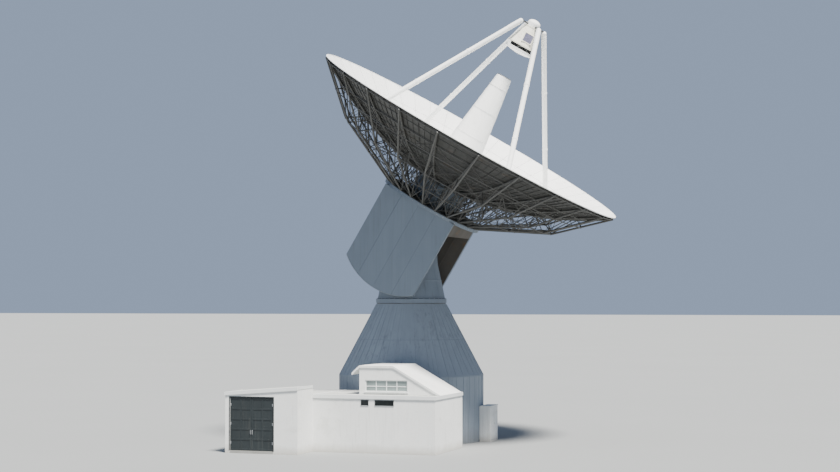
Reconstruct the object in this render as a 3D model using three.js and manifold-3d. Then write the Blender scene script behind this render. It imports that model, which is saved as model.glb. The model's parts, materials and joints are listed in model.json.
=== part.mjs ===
// A 20 m dish antenna on a clad pedestal, with the low service building that abuts the pedestal's foot.
// Millimetres, +Z up. The origin is on the ground on the azimuth axis. At rest the dish looks towards +X.

import * as THREE from 'three';
import { mergeVertices } from 'three/addons/utils/BufferGeometryUtils.js';
import Module from 'manifold-3d';

const wasm = await Module();
wasm.setup();

// Driving dimensions of the dish
const REFLECTOR_RADIUS = 10000;
const FOCAL_LENGTH = 7500;
const SHELL_THICKNESS = 60;
const ELEVATION_AXIS_HEIGHT = 12000;
const RIM_AHEAD = 7525;
const REST_ELEVATION = THREE.MathUtils.degToRad(59.1);
const SHELL_RADII = [1520, 3000, 5000, 7000, 8600, REFLECTOR_RADIUS];
const SHELL_SIDES = 48;

// Driving dimensions of the back structure and the trunk that carries it
const DECK_RADIUS = 3210;
const DECK_TOP = 2700;
const DECK_THICKNESS = 140;
const HUB_RADIUS = 1500;
const HUB_WALL = 200;
const HUB_TOP = 4190;
const NODE_RADIUS = 7228;
const NODE_HEIGHT = 4728;
const RIBS_PER_QUADRANT = 6;
const RIB_THICKNESS = 100;
const RIB_CHORD = 110;
const HOOP_SECTION = 100;
const TRUNK_HALF_WIDTH = 2460;
const TRUNK_HALF_DEPTH = 2400;
const CHEEK_THICKNESS = 250;
const TRUNK_CORNER = -2351;
const TRUNK_SAG = -3198;
const TRUNK_PLATE = 140;
const UNDERSIDE_PLATE_START = 1750;

// Driving dimensions of the feed and of the legs that hold the subreflector
const FEED_BASE_RADIUS = 1480;
const FEED_TIP_RADIUS = 470;
const FEED_TIP = RIM_AHEAD + 3997;
const FEED_WALL = 40;
const LEG_RADIUS = 150;
const LEG_FOOT = [6940, 5795];
const LEG_HEAD = [889, 14950];
const APEX_PLATE_RADIUS = 920;
const SUBREFLECTOR_RADIUS = 950;
const SUBREFLECTOR_EDGE = RIM_AHEAD + 5780;
const CABIN_BOTTOM = RIM_AHEAD + 6120;
const CABIN_BOTTOM_RADIUS = 950;
const CABIN_TOP_RADIUS = 420;

// Driving dimensions of the pedestal and the turning head
const DRUM_RADIUS = 4380;
const DRUM_TOP = 3970;
const CONE_TOP_RADIUS = 2125;
const CONE_TOP = 8251;
const PEDESTAL_WALL = 250;
const PEDESTAL_SIDES = 32;
const TURNTABLE_RADIUS = 2150;
const TURNTABLE_BOTTOM = 8400;
const TURNTABLE_TOP = 8560;
const PIN_RADIUS = 300;
const PIN_CLEARANCE = 0.4;
const BOSS_RADIUS = 520;
const BOSS_FACE = 2100;
const PIN_TIP = 1600;
const PIN_SIDES = 32;

// Driving dimensions of the service building
const GARAGE = { left: -6950, right: -2600, front: -11600 };
const MAIN = { right: 4600, front: -9400, wallTop: 3020, roofTop: 3200 };
const BUILDING_BACK = -DRUM_RADIUS;
const WALL = 250;
const FLOOR = 150;
const DOORWAY = { left: -6660, right: -4060, top: 3080 };
const GARAGE_ROOF = { left: -7000, right: -2600, lowTop: 3370, highTop: 3700, thickness: 160 };
const PENTHOUSE = { left: -200, flatEnd: 1800, right: 4600, top: 4800, front: -8400, back: -4600, wall: 200 };
const PENTHOUSE_ROOF = 120;
const EAVE = { x: -650, top: 4390 };
const WINDOW = { left: 150, right: 2650, bottom: 3350, top: 4000 };
const CABINET = { depth: 670, low: -200, high: 1400, height: 2100 };
const LEAF_THICKNESS = 80;
const LEAF_GAP = 5;
const PIVOT_RADIUS = 25;

// The gap left between pieces that touch
const SEAT = 0.3;

const cladding = new THREE.MeshStandardMaterial({ name: 'cladding', color: 0xa9b0b6, roughness: 0.55, metalness: 0.1 });
const panelWhite = new THREE.MeshStandardMaterial({ name: 'panel_white', color: 0xeef1ef, roughness: 0.45, metalness: 0.0 });
const latticeSteel = new THREE.MeshStandardMaterial({ name: 'lattice_steel', color: 0x737370, roughness: 0.5, metalness: 0.3 });
const cabinCream = new THREE.MeshStandardMaterial({ name: 'cabin_cream', color: 0xe6e2d0, roughness: 0.5, metalness: 0.0 });
const bearingSteel = new THREE.MeshStandardMaterial({ name: 'bearing_steel', color: 0x6f7478, roughness: 0.45, metalness: 0.6 });
const render = new THREE.MeshStandardMaterial({ name: 'render', color: 0xe3e5e1, roughness: 0.85, metalness: 0.0 });
const roofing = new THREE.MeshStandardMaterial({ name: 'roofing', color: 0x999c99, roughness: 0.9, metalness: 0.0 });
const concrete = new THREE.MeshStandardMaterial({ name: 'concrete', color: 0x9a9a94, roughness: 0.9, metalness: 0.0 });
const doorGrey = new THREE.MeshStandardMaterial({ name: 'door_grey', color: 0x434d4f, roughness: 0.6, metalness: 0.1 });
const glazing = new THREE.MeshStandardMaterial({ name: 'glazing', color: 0x9fb0b4, roughness: 0.15, metalness: 0.0 });

// Shapes

function piece(name, geometry, material) {
  const mesh = new THREE.Mesh(geometry, material);
  mesh.name = name;
  return mesh;
}

// A straight block between two corners.
function block(low, high) {
  const size = high.map((value, i) => value - low[i]);
  const middle = high.map((value, i) => (value + low[i]) / 2);
  return new THREE.BoxGeometry(...size).translate(...middle);
}

// An outline in the XZ plane, drawn out along Y from low to high.
function drawnAlongY(shape, low, high, curveSegments = 12) {
  const geometry = new THREE.ExtrudeGeometry(shape, { depth: high - low, bevelEnabled: false, curveSegments });
  return geometry.rotateX(Math.PI / 2).translate(0, high, 0);
}

// An outline in the XY plane, drawn up along Z from low to high.
function drawnUp(shape, low, high, curveSegments = 8) {
  const geometry = new THREE.ExtrudeGeometry(shape, { depth: high - low, bevelEnabled: false, curveSegments });
  return geometry.translate(0, 0, low);
}

function outline(points) {
  return new THREE.Shape(points.map(([x, y]) => new THREE.Vector2(x, y)));
}

// A profile of [radius, height] points turned about the Z axis. A profile off the axis closes on itself.
function turned(profile, sides) {
  const points = profile.map(([r, z]) => new THREE.Vector2(r, z));
  if (profile[0][0] > 0) {
    points.push(points[0].clone());
  }
  return facingOut(new THREE.LatheGeometry(points, sides).rotateX(Math.PI / 2));
}

// Turns the faces round where the volume that they enclose is negative.
function facingOut(geometry) {
  const merged = bare(geometry);
  const place = merged.getAttribute('position');
  const index = merged.getIndex().array;
  const corners = [0, 1, 2].map(() => new THREE.Vector3());
  let volume = 0;
  for (let i = 0; i < index.length; i += 3) {
    corners.forEach((corner, k) => corner.fromBufferAttribute(place, index[i + k]));
    volume += corners[0].dot(corners[1].cross(corners[2]));
  }
  if (volume < 0) {
    for (let i = 0; i < index.length; i += 3) {
      [index[i], index[i + 1]] = [index[i + 1], index[i]];
    }
  }
  return merged;
}

// The same surface with shared corners merged and faces without area left out.
function bare(geometry) {
  const copy = geometry.clone();
  copy.deleteAttribute('normal');
  copy.deleteAttribute('uv');
  const merged = mergeVertices(copy, 1e-3);
  const index = merged.getIndex().array;
  const kept = [];
  for (let i = 0; i < index.length; i += 3) {
    const [a, b, c] = [index[i], index[i + 1], index[i + 2]];
    if (a !== b && b !== c && c !== a) {
      kept.push(a, b, c);
    }
  }
  merged.setIndex(kept);
  return merged;
}

function solid(geometry) {
  const merged = bare(geometry);
  const vertProperties = new Float32Array(merged.getAttribute('position').array);
  const triVerts = new Uint32Array(merged.getIndex().array);
  return new wasm.Manifold(new wasm.Mesh({ numProp: 3, vertProperties, triVerts }));
}

function geometryOf(body) {
  const mesh = body.getMesh();
  const geometry = new THREE.BufferGeometry();
  geometry.setAttribute('position', new THREE.BufferAttribute(new Float32Array(mesh.vertProperties), 3));
  geometry.setIndex(new THREE.BufferAttribute(new Uint32Array(mesh.triVerts), 1));
  return geometry;
}

// Pedestal

function pedestal() {
  const group = new THREE.Group();
  const inner = DRUM_RADIUS - PEDESTAL_WALL;
  const drum = turned([[inner, 0], [DRUM_RADIUS, 0], [DRUM_RADIUS, DRUM_TOP - SEAT], [inner, DRUM_TOP - SEAT]], PEDESTAL_SIDES);
  const coneProfile = [
    [inner, DRUM_TOP], [DRUM_RADIUS, DRUM_TOP],
    [CONE_TOP_RADIUS, CONE_TOP], [CONE_TOP_RADIUS - PEDESTAL_WALL, CONE_TOP],
  ];
  const bearing = [
    [CONE_TOP_RADIUS - 600, CONE_TOP + SEAT], [CONE_TOP_RADIUS - 20, CONE_TOP + SEAT],
    [CONE_TOP_RADIUS - 20, TURNTABLE_BOTTOM - SEAT], [CONE_TOP_RADIUS - 600, TURNTABLE_BOTTOM - SEAT],
  ];
  const floorProfile = [[0, 0], [inner - SEAT, 0], [inner - SEAT, FLOOR], [0, FLOOR]];
  group.add(piece('pedestal_drum', drum, cladding));
  group.add(piece('pedestal_cone', turned(coneProfile, PEDESTAL_SIDES), cladding));
  group.add(piece('pedestal_floor', turned(floorProfile, PEDESTAL_SIDES), concrete));
  group.add(piece('azimuth_bearing_ring', turned(bearing, PEDESTAL_SIDES), bearingSteel));
  return group;
}

// Service building

function garageRoofUnderside(x) {
  const slope = (GARAGE_ROOF.highTop - GARAGE_ROOF.lowTop) / (GARAGE_ROOF.right - GARAGE_ROOF.left);
  return GARAGE_ROOF.lowTop - GARAGE_ROOF.thickness + (x - GARAGE_ROOF.left) * slope;
}

// A stretch of garage wall between two x values, from a height up to the sloping roof.
function garageWall(x0, x1, y0, y1, bottom = 0) {
  const top = [[x1, garageRoofUnderside(x1) - SEAT], [x0, garageRoofUnderside(x0) - SEAT]];
  return drawnAlongY(outline([[x0, bottom], [x1, bottom], ...top]), y0, y1);
}

// A side wall of the garage: tall under its own roof in front, and low where the main roof runs on over it.
function garageSideWall(x0, x1, y0, y1) {
  const tall = garageWall(x0, x1, y0, MAIN.front - WALL - SEAT);
  const low = block([x0, y0, 0], [x1, y1, MAIN.wallTop - SEAT]);
  return geometryOf(solid(tall).add(solid(low)));
}

function garage() {
  const group = new THREE.Group();
  const { left, right, front } = GARAGE;
  const back = BUILDING_BACK - SEAT;
  const frontInner = front + WALL;
  const backInner = back - WALL;
  const sideEnds = [frontInner + SEAT, backInner - SEAT];
  const step = MAIN.front;

  const walls = {
    garage_left_pier: garageWall(left, DOORWAY.left, front, frontInner),
    garage_right_pier: garageWall(DOORWAY.right, right, front, frontInner),
    garage_lintel: garageWall(DOORWAY.left + SEAT, DOORWAY.right - SEAT, front, frontInner, DOORWAY.top),
    garage_left_wall: garageSideWall(left, left + WALL, ...sideEnds),
    garage_right_wall: garageSideWall(right - WALL, right, ...sideEnds),
    garage_step_wall: garageWall(left, right, step - WALL, step, MAIN.wallTop),
    garage_back_wall: block([left, backInner, 0], [right, back, MAIN.wallTop - SEAT]),
  };
  for (const [name, geometry] of Object.entries(walls)) {
    group.add(piece(name, geometry, render));
  }

  const floorPlan = outline([
    [DOORWAY.left + SEAT, front], [DOORWAY.right - SEAT, front],
    [DOORWAY.right - SEAT, frontInner + SEAT], [right - WALL - SEAT, frontInner + SEAT],
    [right - WALL - SEAT, backInner - SEAT], [left + WALL + SEAT, backInner - SEAT],
    [left + WALL + SEAT, frontInner + SEAT], [DOORWAY.left + SEAT, frontInner + SEAT],
  ]);
  group.add(piece('garage_floor', drawnUp(floorPlan, 0, FLOOR), concrete));

  const { left: roofLeft, right: roofRight, lowTop, highTop, thickness } = GARAGE_ROOF;
  const overhang = left - roofLeft;
  const roofOutline = outline([
    [roofLeft, lowTop - thickness], [roofRight, highTop - thickness], [roofRight, highTop], [roofLeft, lowTop],
  ]);
  group.add(piece('garage_roof', drawnAlongY(roofOutline, front - overhang, step), roofing));
  return group;
}

function mainBlock() {
  const group = new THREE.Group();
  const left = GARAGE.right + SEAT;
  const { right, front, wallTop, roofTop } = MAIN;
  const back = BUILDING_BACK - SEAT;
  const frontInner = front + WALL;
  const backInner = back - WALL;
  const underRoof = wallTop - SEAT;
  const overhang = 50;
  const sideEnds = [frontInner + SEAT, backInner - SEAT];
  group.add(piece('main_front_wall', block([left, front, 0], [right, frontInner, underRoof]), render));
  group.add(piece('main_right_wall', block([right - WALL, sideEnds[0], 0], [right, sideEnds[1], underRoof]), render));
  group.add(piece('main_back_wall', block([left, backInner, 0], [right, back, underRoof]), render));
  group.add(piece('main_floor', block([left, sideEnds[0], 0], [right - WALL - SEAT, sideEnds[1], FLOOR]), concrete));

  // The roof runs on to the left, behind the garage's tall front part.
  const roofLeft = GARAGE_ROOF.left;
  const roofPlan = outline([
    [left, front - overhang], [right + overhang, front - overhang], [right + overhang, back],
    [roofLeft, back], [roofLeft, front + SEAT], [left, front + SEAT],
  ]);
  group.add(piece('main_roof', drawnUp(roofPlan, wallTop, roofTop), roofing));
  return group;
}

// The raised room on the main roof, whose roof rakes down to the right.
function penthouse() {
  const group = new THREE.Group();
  const { left, flatEnd, right, top, front, back, wall } = PENTHOUSE;
  const bottom = MAIN.roofTop + SEAT;
  const slope = (top - MAIN.roofTop) / (right - flatEnd);
  const underside = top - PENTHOUSE_ROOF;
  const rakeEnd = flatEnd + (underside - bottom) / slope;
  const topAtBottom = flatEnd + (top - bottom) / slope;
  const wallOutline = () => outline([
    [left, bottom], [rakeEnd - SEAT / slope, bottom], [flatEnd, underside - SEAT], [left, underside - SEAT],
  ]);

  const frontOutline = wallOutline();
  const { left: w0, right: w1, bottom: sill, top: head } = WINDOW;
  frontOutline.holes.push(new THREE.Path([[w0, sill], [w1, sill], [w1, head], [w0, head]].map((p) => new THREE.Vector2(...p))));
  group.add(piece('penthouse_front_wall', drawnAlongY(frontOutline, front, front + wall), render));
  group.add(piece('penthouse_back_wall', drawnAlongY(wallOutline(), back - wall, back), render));
  const leftWall = block([left, front + wall + SEAT, bottom], [left + wall, back - wall - SEAT, underside - SEAT]);
  group.add(piece('penthouse_left_wall', leftWall, render));

  const glassMiddle = front + 80;
  const glass = block([w0 + SEAT, glassMiddle - 10, sill + SEAT], [w1 - SEAT, glassMiddle + 10, head - SEAT]);
  group.add(piece('penthouse_glass', glass, glazing));

  const roofOutline = outline([
    [EAVE.x, EAVE.top - PENTHOUSE_ROOF], [left, underside], [flatEnd, underside], [rakeEnd, bottom],
    [topAtBottom, bottom], [flatEnd, top], [left, top], [EAVE.x, EAVE.top],
  ]);
  const overhang = 50;
  group.add(piece('penthouse_roof', drawnAlongY(roofOutline, front - overhang, back + overhang), render));
  return group;
}

function sideCabinet() {
  const { depth, low, high, height } = CABINET;
  const near = DRUM_RADIUS + SEAT;
  return piece('side_cabinet', block([near, low, 0], [near + depth, high, height]), render);
}

// A door leaf hinged about its own rounded edge. Its pivots stand on the floor and reach up to the lintel.
function doorLeaf(name, axisX, direction) {
  const half = LEAF_THICKNESS / 2;
  const meeting = (DOORWAY.left + DOORWAY.right) / 2;
  const length = Math.abs(meeting - axisX) - LEAF_GAP / 2;
  const plan = new THREE.Shape();
  plan.moveTo(0, -half);
  plan.lineTo(length, -half);
  plan.lineTo(length, half);
  plan.lineTo(0, half);
  plan.absarc(0, 0, half, Math.PI / 2, 1.5 * Math.PI, false);
  const clearance = 15;
  const leaf = solid(drawnUp(plan, FLOOR + clearance, DOORWAY.top - clearance, 6));
  const pivotHeight = DOORWAY.top - FLOOR - 2 * SEAT;
  const pivot = new THREE.CylinderGeometry(PIVOT_RADIUS, PIVOT_RADIUS, pivotHeight, 12).rotateX(Math.PI / 2);
  pivot.translate(0, 0, (DOORWAY.top + FLOOR) / 2);
  const whole = geometryOf(leaf.add(solid(pivot)));
  if (direction < 0) {
    whole.rotateZ(Math.PI);
  }
  const mesh = piece(name, whole, doorGrey);
  mesh.position.set(axisX, GARAGE.front + half + 20, 0);
  return mesh;
}

function doors() {
  const group = new THREE.Group();
  const inset = LEAF_THICKNESS / 2 + LEAF_GAP;
  group.add(doorLeaf('garage_door_left', DOORWAY.left + inset, 1));
  group.add(doorLeaf('garage_door_right', DOORWAY.right - inset, -1));
  return group;
}

// Turning head, which carries the elevation bearings

function azimuthHead() {
  const group = new THREE.Group();
  const plate = [[0, TURNTABLE_BOTTOM], [TURNTABLE_RADIUS, TURNTABLE_BOTTOM], [TURNTABLE_RADIUS, TURNTABLE_TOP], [0, TURNTABLE_TOP]];
  group.add(piece('turntable', turned(plate, PEDESTAL_SIDES), bearingSteel));

  const column = [
    [0, TURNTABLE_TOP + SEAT], [2050, TURNTABLE_TOP + SEAT], [1600, 10700],
    [1500, ELEVATION_AXIS_HEIGHT + 900], [1200, ELEVATION_AXIS_HEIGHT + 1300], [0, ELEVATION_AXIS_HEIGHT + 1300],
  ];
  const boss = new THREE.CylinderGeometry(BOSS_RADIUS, BOSS_RADIUS, 2 * BOSS_FACE, PIN_SIDES);
  boss.translate(0, 0, ELEVATION_AXIS_HEIGHT);
  // The bore's flats face the pin's corners, so the pin turns freely in it.
  const boreRadius = (PIN_RADIUS + PIN_CLEARANCE) / Math.cos(Math.PI / PIN_SIDES);
  const boreDepth = BOSS_FACE - PIN_TIP + 20;
  let head = solid(turned(column, PEDESTAL_SIDES)).add(solid(boss));
  for (const side of [-1, 1]) {
    const bore = new THREE.CylinderGeometry(boreRadius, boreRadius, boreDepth + 10, PIN_SIDES);
    bore.rotateY(Math.PI / 2 - REST_ELEVATION + Math.PI / PIN_SIDES);
    bore.translate(0, side * (BOSS_FACE + 10 - (boreDepth + 10) / 2), ELEVATION_AXIS_HEIGHT);
    head = head.subtract(solid(bore));
  }
  group.add(piece('turning_head', geometryOf(head), cladding));
  return group;
}

// Trunk between the turning head and the dish. Here X runs across the trunk and Z along the dish's axis.

function cheek(name, side) {
  const top = DECK_TOP - DECK_THICKNESS - SEAT;
  const rise = TRUNK_CORNER - TRUNK_SAG;
  const radius = (TRUNK_HALF_WIDTH ** 2 + rise ** 2) / (2 * rise);
  const middle = TRUNK_SAG + radius;
  const start = Math.atan2(TRUNK_CORNER - middle, TRUNK_HALF_WIDTH);
  const shape = new THREE.Shape();
  shape.moveTo(-TRUNK_HALF_WIDTH, top);
  shape.lineTo(TRUNK_HALF_WIDTH, top);
  shape.lineTo(TRUNK_HALF_WIDTH, TRUNK_CORNER);
  shape.absarc(0, middle, radius, start, -Math.PI - start, true);
  const inner = TRUNK_HALF_DEPTH - CHEEK_THICKNESS;
  const plate = drawnAlongY(shape, Math.min(side * inner, side * TRUNK_HALF_DEPTH), Math.max(side * inner, side * TRUNK_HALF_DEPTH));
  const embedded = CHEEK_THICKNESS / 2;
  const pinLength = inner + embedded - PIN_TIP;
  const pin = new THREE.CylinderGeometry(PIN_RADIUS, PIN_RADIUS, pinLength, PIN_SIDES);
  pin.translate(0, side * (PIN_TIP + pinLength / 2), 0);
  return piece(name, geometryOf(solid(plate).add(solid(pin))), cladding);
}

function trunk() {
  const group = new THREE.Group();
  const inner = TRUNK_HALF_DEPTH - CHEEK_THICKNESS - SEAT;
  const top = DECK_TOP - DECK_THICKNESS - SEAT;
  const outer = TRUNK_HALF_WIDTH;
  const face = outer - TRUNK_PLATE;
  group.add(cheek('trunk_near_cheek', -1));
  group.add(cheek('trunk_far_cheek', 1));
  group.add(piece('trunk_back_plate', block([-outer, -inner, TRUNK_CORNER], [-face, inner, top]), cladding));
  group.add(piece('trunk_underside_plate', block([face, -inner, UNDERSIDE_PLATE_START], [outer, inner, top]), cladding));
  const weight = block([-face + SEAT, -inner, TRUNK_CORNER + 10], [-1980, inner, -300]);
  group.add(piece('counterweight', weight, bearingSteel));
  return group;
}

// Reflector

function shellFront(radius) {
  return RIM_AHEAD + (radius ** 2 - REFLECTOR_RADIUS ** 2) / (4 * FOCAL_LENGTH);
}

// Height of the faceted shell's back at a radius, on the straight lines between the shell's own radii.
function shellBack(radius) {
  let i = 1;
  while (i < SHELL_RADII.length - 1 && radius > SHELL_RADII[i]) {
    i += 1;
  }
  const [r0, r1] = [SHELL_RADII[i - 1], SHELL_RADII[i]];
  const share = (radius - r0) / (r1 - r0);
  return shellFront(r0) + (shellFront(r1) - shellFront(r0)) * share - SHELL_THICKNESS;
}

// A ring of the paraboloid's section, from below its front by one depth to another.
function shellRing(raise, depth) {
  const front = SHELL_RADII.map((r) => [r, shellFront(r) + raise]);
  const back = SHELL_RADII.map((r) => [r, shellFront(r) - depth]).reverse();
  return turned([...front, ...back], SHELL_SIDES);
}

// The quarter of space in which both X and Y are positive, short of its two bounding planes.
function quarter() {
  const reach = 2 * REFLECTOR_RADIUS;
  return solid(block([SEAT / 2, SEAT / 2, -reach], [reach, reach, reach]));
}

function reflector() {
  const group = new THREE.Group();
  const sector = geometryOf(solid(shellRing(0, SHELL_THICKNESS)).intersect(quarter()));
  for (let i = 0; i < 4; i += 1) {
    const mesh = piece(`reflector_quadrant_${i + 1}`, sector, panelWhite);
    mesh.rotation.z = i * Math.PI / 2;
    group.add(mesh);
  }
  return group;
}

// Back structure: plate-like trussed ribs joined by straight hoop bars

// The triangle shrunk so that each side moves inwards by a margin, or nothing where it is too small.
function shrunk(triangle, margin) {
  const sides = triangle.map((_, i) => triangle[(i + 1) % 3].distanceTo(triangle[(i + 2) % 3]));
  const perimeter = sides[0] + sides[1] + sides[2];
  const centre = new THREE.Vector2();
  triangle.forEach((corner, i) => centre.addScaledVector(corner, sides[i] / perimeter));
  const [a, b, c] = triangle;
  const area = Math.abs((b.x - a.x) * (c.y - a.y) - (c.x - a.x) * (b.y - a.y)) / 2;
  const inradius = 2 * area / perimeter;
  if (inradius < 1.5 * margin) {
    return null;
  }
  return triangle.map((corner) => corner.clone().sub(centre).multiplyScalar(1 - margin / inradius).add(centre));
}

function ribBottom(radius) {
  if (radius < DECK_RADIUS) {
    return DECK_TOP + SEAT;
  }
  const rimBottom = shellBack(RIB_TIP) - RIB_CHORD;
  const [r0, z0, r1, z1] = radius < NODE_RADIUS
    ? [DECK_RADIUS, DECK_TOP + SEAT, NODE_RADIUS, NODE_HEIGHT]
    : [NODE_RADIUS, NODE_HEIGHT, RIB_TIP, rimBottom];
  return z0 + (z1 - z0) * (radius - r0) / (r1 - r0);
}

const RIB_TIP = REFLECTOR_RADIUS - 50;
const RIB_ROOT = HUB_RADIUS + SEAT;
const TOP_NODES = [1620, 2900, 4300, 6200, 8150];
const BOTTOM_NODES = [1620, 3150, 5200, 7150];

function ribShape() {
  const topRadii = [RIB_TIP, ...SHELL_RADII.slice(1, -1).reverse(), RIB_ROOT];
  const shape = outline([
    [RIB_ROOT, DECK_TOP + SEAT], [DECK_RADIUS, DECK_TOP + SEAT], [NODE_RADIUS, NODE_HEIGHT], [RIB_TIP, ribBottom(RIB_TIP)],
    ...topRadii.map((r) => [r, shellBack(r) - SEAT]),
  ]);
  const top = TOP_NODES.map((r) => new THREE.Vector2(r, shellBack(r) - RIB_CHORD / 2));
  const bottom = BOTTOM_NODES.map((r) => new THREE.Vector2(r, ribBottom(r) + RIB_CHORD / 2));
  const zigzag = [];
  for (let i = 0; i < top.length; i += 1) {
    zigzag.push(top[i]);
    if (bottom[i]) {
      zigzag.push(bottom[i]);
    }
  }
  for (let i = 0; i + 2 < zigzag.length; i += 1) {
    const hole = shrunk([zigzag[i], zigzag[i + 1], zigzag[i + 2]], RIB_CHORD / 2);
    if (hole) {
      shape.holes.push(new THREE.Path(hole));
    }
  }
  return shape;
}

// A hoop bar between two angles, at a radius and height.
function hoopBar(radius, height, from, to) {
  const a = new THREE.Vector2(Math.cos(from), Math.sin(from)).multiplyScalar(radius);
  const b = new THREE.Vector2(Math.cos(to), Math.sin(to)).multiplyScalar(radius);
  const bar = new THREE.BoxGeometry(a.distanceTo(b), HOOP_SECTION, HOOP_SECTION);
  bar.rotateZ(Math.atan2(b.y - a.y, b.x - a.x));
  return bar.translate((a.x + b.x) / 2, (a.y + b.y) / 2, height);
}

function backStructure() {
  const group = new THREE.Group();
  const step = Math.PI / 2 / RIBS_PER_QUADRANT;
  const rib = drawnAlongY(ribShape(), -RIB_THICKNESS / 2, RIB_THICKNESS / 2);
  const raise = RIB_CHORD / 2;
  // Between two ribs the rim's hoop lies nearer to the axis, where the shell is lower.
  const rimHoop = RIB_TIP - 90;
  const hoops = [
    [BOTTOM_NODES[2], ribBottom(BOTTOM_NODES[2]) + raise],
    [BOTTOM_NODES[3], ribBottom(BOTTOM_NODES[3]) + raise],
    [rimHoop, shellBack(rimHoop * Math.cos(step / 2) - HOOP_SECTION / 2) - SEAT - HOOP_SECTION / 2],
  ];
  let lattice = null;
  for (let i = 0; i < RIBS_PER_QUADRANT; i += 1) {
    const turnedRib = solid(rib.clone().rotateZ((i + 0.5) * step));
    lattice = lattice ? lattice.add(turnedRib) : turnedRib;
  }
  for (const [radius, height] of hoops) {
    for (let i = 0; i <= RIBS_PER_QUADRANT; i += 1) {
      lattice = lattice.add(solid(hoopBar(radius, height, (i - 0.5) * step, (i + 0.5) * step)));
    }
  }
  const sector = geometryOf(lattice.intersect(quarter()));
  for (let i = 0; i < 4; i += 1) {
    const mesh = piece(`back_structure_${i + 1}`, sector, latticeSteel);
    mesh.rotation.z = i * Math.PI / 2;
    group.add(mesh);
  }
  return group;
}

function hub() {
  const group = new THREE.Group();
  const deckBottom = DECK_TOP - DECK_THICKNESS;
  const deck = [[0, deckBottom], [DECK_RADIUS, deckBottom], [DECK_RADIUS, DECK_TOP], [0, DECK_TOP]];
  const ribs = 4 * RIBS_PER_QUADRANT;
  const ring = [
    [HUB_RADIUS - HUB_WALL, DECK_TOP + SEAT], [HUB_RADIUS, DECK_TOP + SEAT],
    [HUB_RADIUS, HUB_TOP], [HUB_RADIUS - HUB_WALL, HUB_TOP],
  ];
  group.add(piece('hub_deck', turned(deck, ribs).rotateZ(Math.PI / ribs), latticeSteel));
  group.add(piece('central_hub', turned(ring, ribs).rotateZ(Math.PI / ribs), latticeSteel));
  return group;
}

// Feed, legs and subreflector

function feed() {
  const group = new THREE.Group();
  const base = HUB_TOP + SEAT;
  // The cone is a shell, open at its foot over the hub.
  const cone = [
    [0, FEED_TIP], [FEED_TIP_RADIUS, FEED_TIP], [FEED_BASE_RADIUS, base], [FEED_BASE_RADIUS - FEED_WALL, base],
    [FEED_TIP_RADIUS - FEED_WALL, FEED_TIP - FEED_WALL], [0, FEED_TIP - FEED_WALL],
  ];
  const windowRadius = FEED_TIP_RADIUS - FEED_WALL;
  const cap = [[0, FEED_TIP + SEAT], [windowRadius, FEED_TIP + SEAT], [windowRadius, FEED_TIP + 40], [0, FEED_TIP + 40]];
  group.add(piece('feed_cone', turned(cone, 24), panelWhite));
  group.add(piece('feed_window', turned(cap, 24), cabinCream));
  return group;
}

function legs() {
  const group = new THREE.Group();
  const foot = new THREE.Vector3(LEG_FOOT[0], 0, LEG_FOOT[1]);
  const head = new THREE.Vector3(LEG_HEAD[0], 0, LEG_HEAD[1]);
  const along = head.clone().sub(foot).normalize();
  const spare = 500;
  const length = foot.distanceTo(head) + 2 * spare;
  const tube = new THREE.CylinderGeometry(LEG_RADIUS, LEG_RADIUS, length, 8);
  tube.applyQuaternion(new THREE.Quaternion().setFromUnitVectors(new THREE.Vector3(0, 1, 0), along));
  tube.translate(...foot.clone().add(head).multiplyScalar(0.5).toArray());
  tube.rotateZ(Math.PI / 4);
  const underShell = solid(shellRing(SEAT, 3000));
  const reach = REFLECTOR_RADIUS;
  const aboveHead = solid(block([-reach, -reach, LEG_HEAD[1]], [reach, reach, LEG_HEAD[1] + 2 * spare]));
  const leg = geometryOf(solid(tube).subtract(underShell).subtract(aboveHead));
  for (let i = 0; i < 4; i += 1) {
    const mesh = piece(`feed_leg_${i + 1}`, leg, panelWhite);
    mesh.rotation.z = i * Math.PI / 2;
    group.add(mesh);
  }
  return group;
}

function apex() {
  const group = new THREE.Group();
  const seat = LEG_HEAD[1] + SEAT;
  const rim = APEX_PLATE_RADIUS;
  const plate = [[0, seat], [rim, seat], [rim, seat + 100], [480, seat + 450], [0, seat + 450]];
  const bottom = CABIN_BOTTOM + SEAT;
  const cabin = [[0, bottom], [CABIN_BOTTOM_RADIUS, bottom], [CABIN_TOP_RADIUS, LEG_HEAD[1]], [0, LEG_HEAD[1]]];
  const edge = SUBREFLECTOR_EDGE;
  const mirror = [
    [0, edge - 150], [500, edge - 110], [SUBREFLECTOR_RADIUS, edge], [SUBREFLECTOR_RADIUS, edge + 150],
    [300, edge + 150], [300, CABIN_BOTTOM], [0, CABIN_BOTTOM],
  ];
  group.add(piece('apex_plate', turned(plate, 24), panelWhite));
  group.add(piece('subreflector_cabin', turned(cabin, 24), cabinCream));
  group.add(piece('subreflector', turned(mirror, 24), panelWhite));
  return group;
}

// The whole

const dish = new THREE.Group();
dish.add(trunk(), hub(), backStructure(), reflector(), feed(), legs(), apex());
dish.position.z = ELEVATION_AXIS_HEIGHT;
dish.rotation.y = Math.PI / 2 - REST_ELEVATION;

const antenna = new THREE.Group();
antenna.add(pedestal(), garage(), mainBlock(), penthouse(), sideCabinet(), doors(), azimuthHead(), dish);

export default antenna;
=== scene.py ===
"""A steerable 20 m dish antenna on a clad pedestal, with the low service building at its foot.

Everything is in metres with +Z up. The pieces of the dish are laid out in the dish's own axes, with Z along
its line of sight and Y along the elevation axis, and are then turned to the way the dish looks at rest.
"""

import json
import math
from contextlib import contextmanager
from functools import cache

import bmesh
import bpy
from bpy.props import FloatProperty, FloatVectorProperty, IntProperty, PointerProperty
from mathutils import Matrix, Vector


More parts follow.
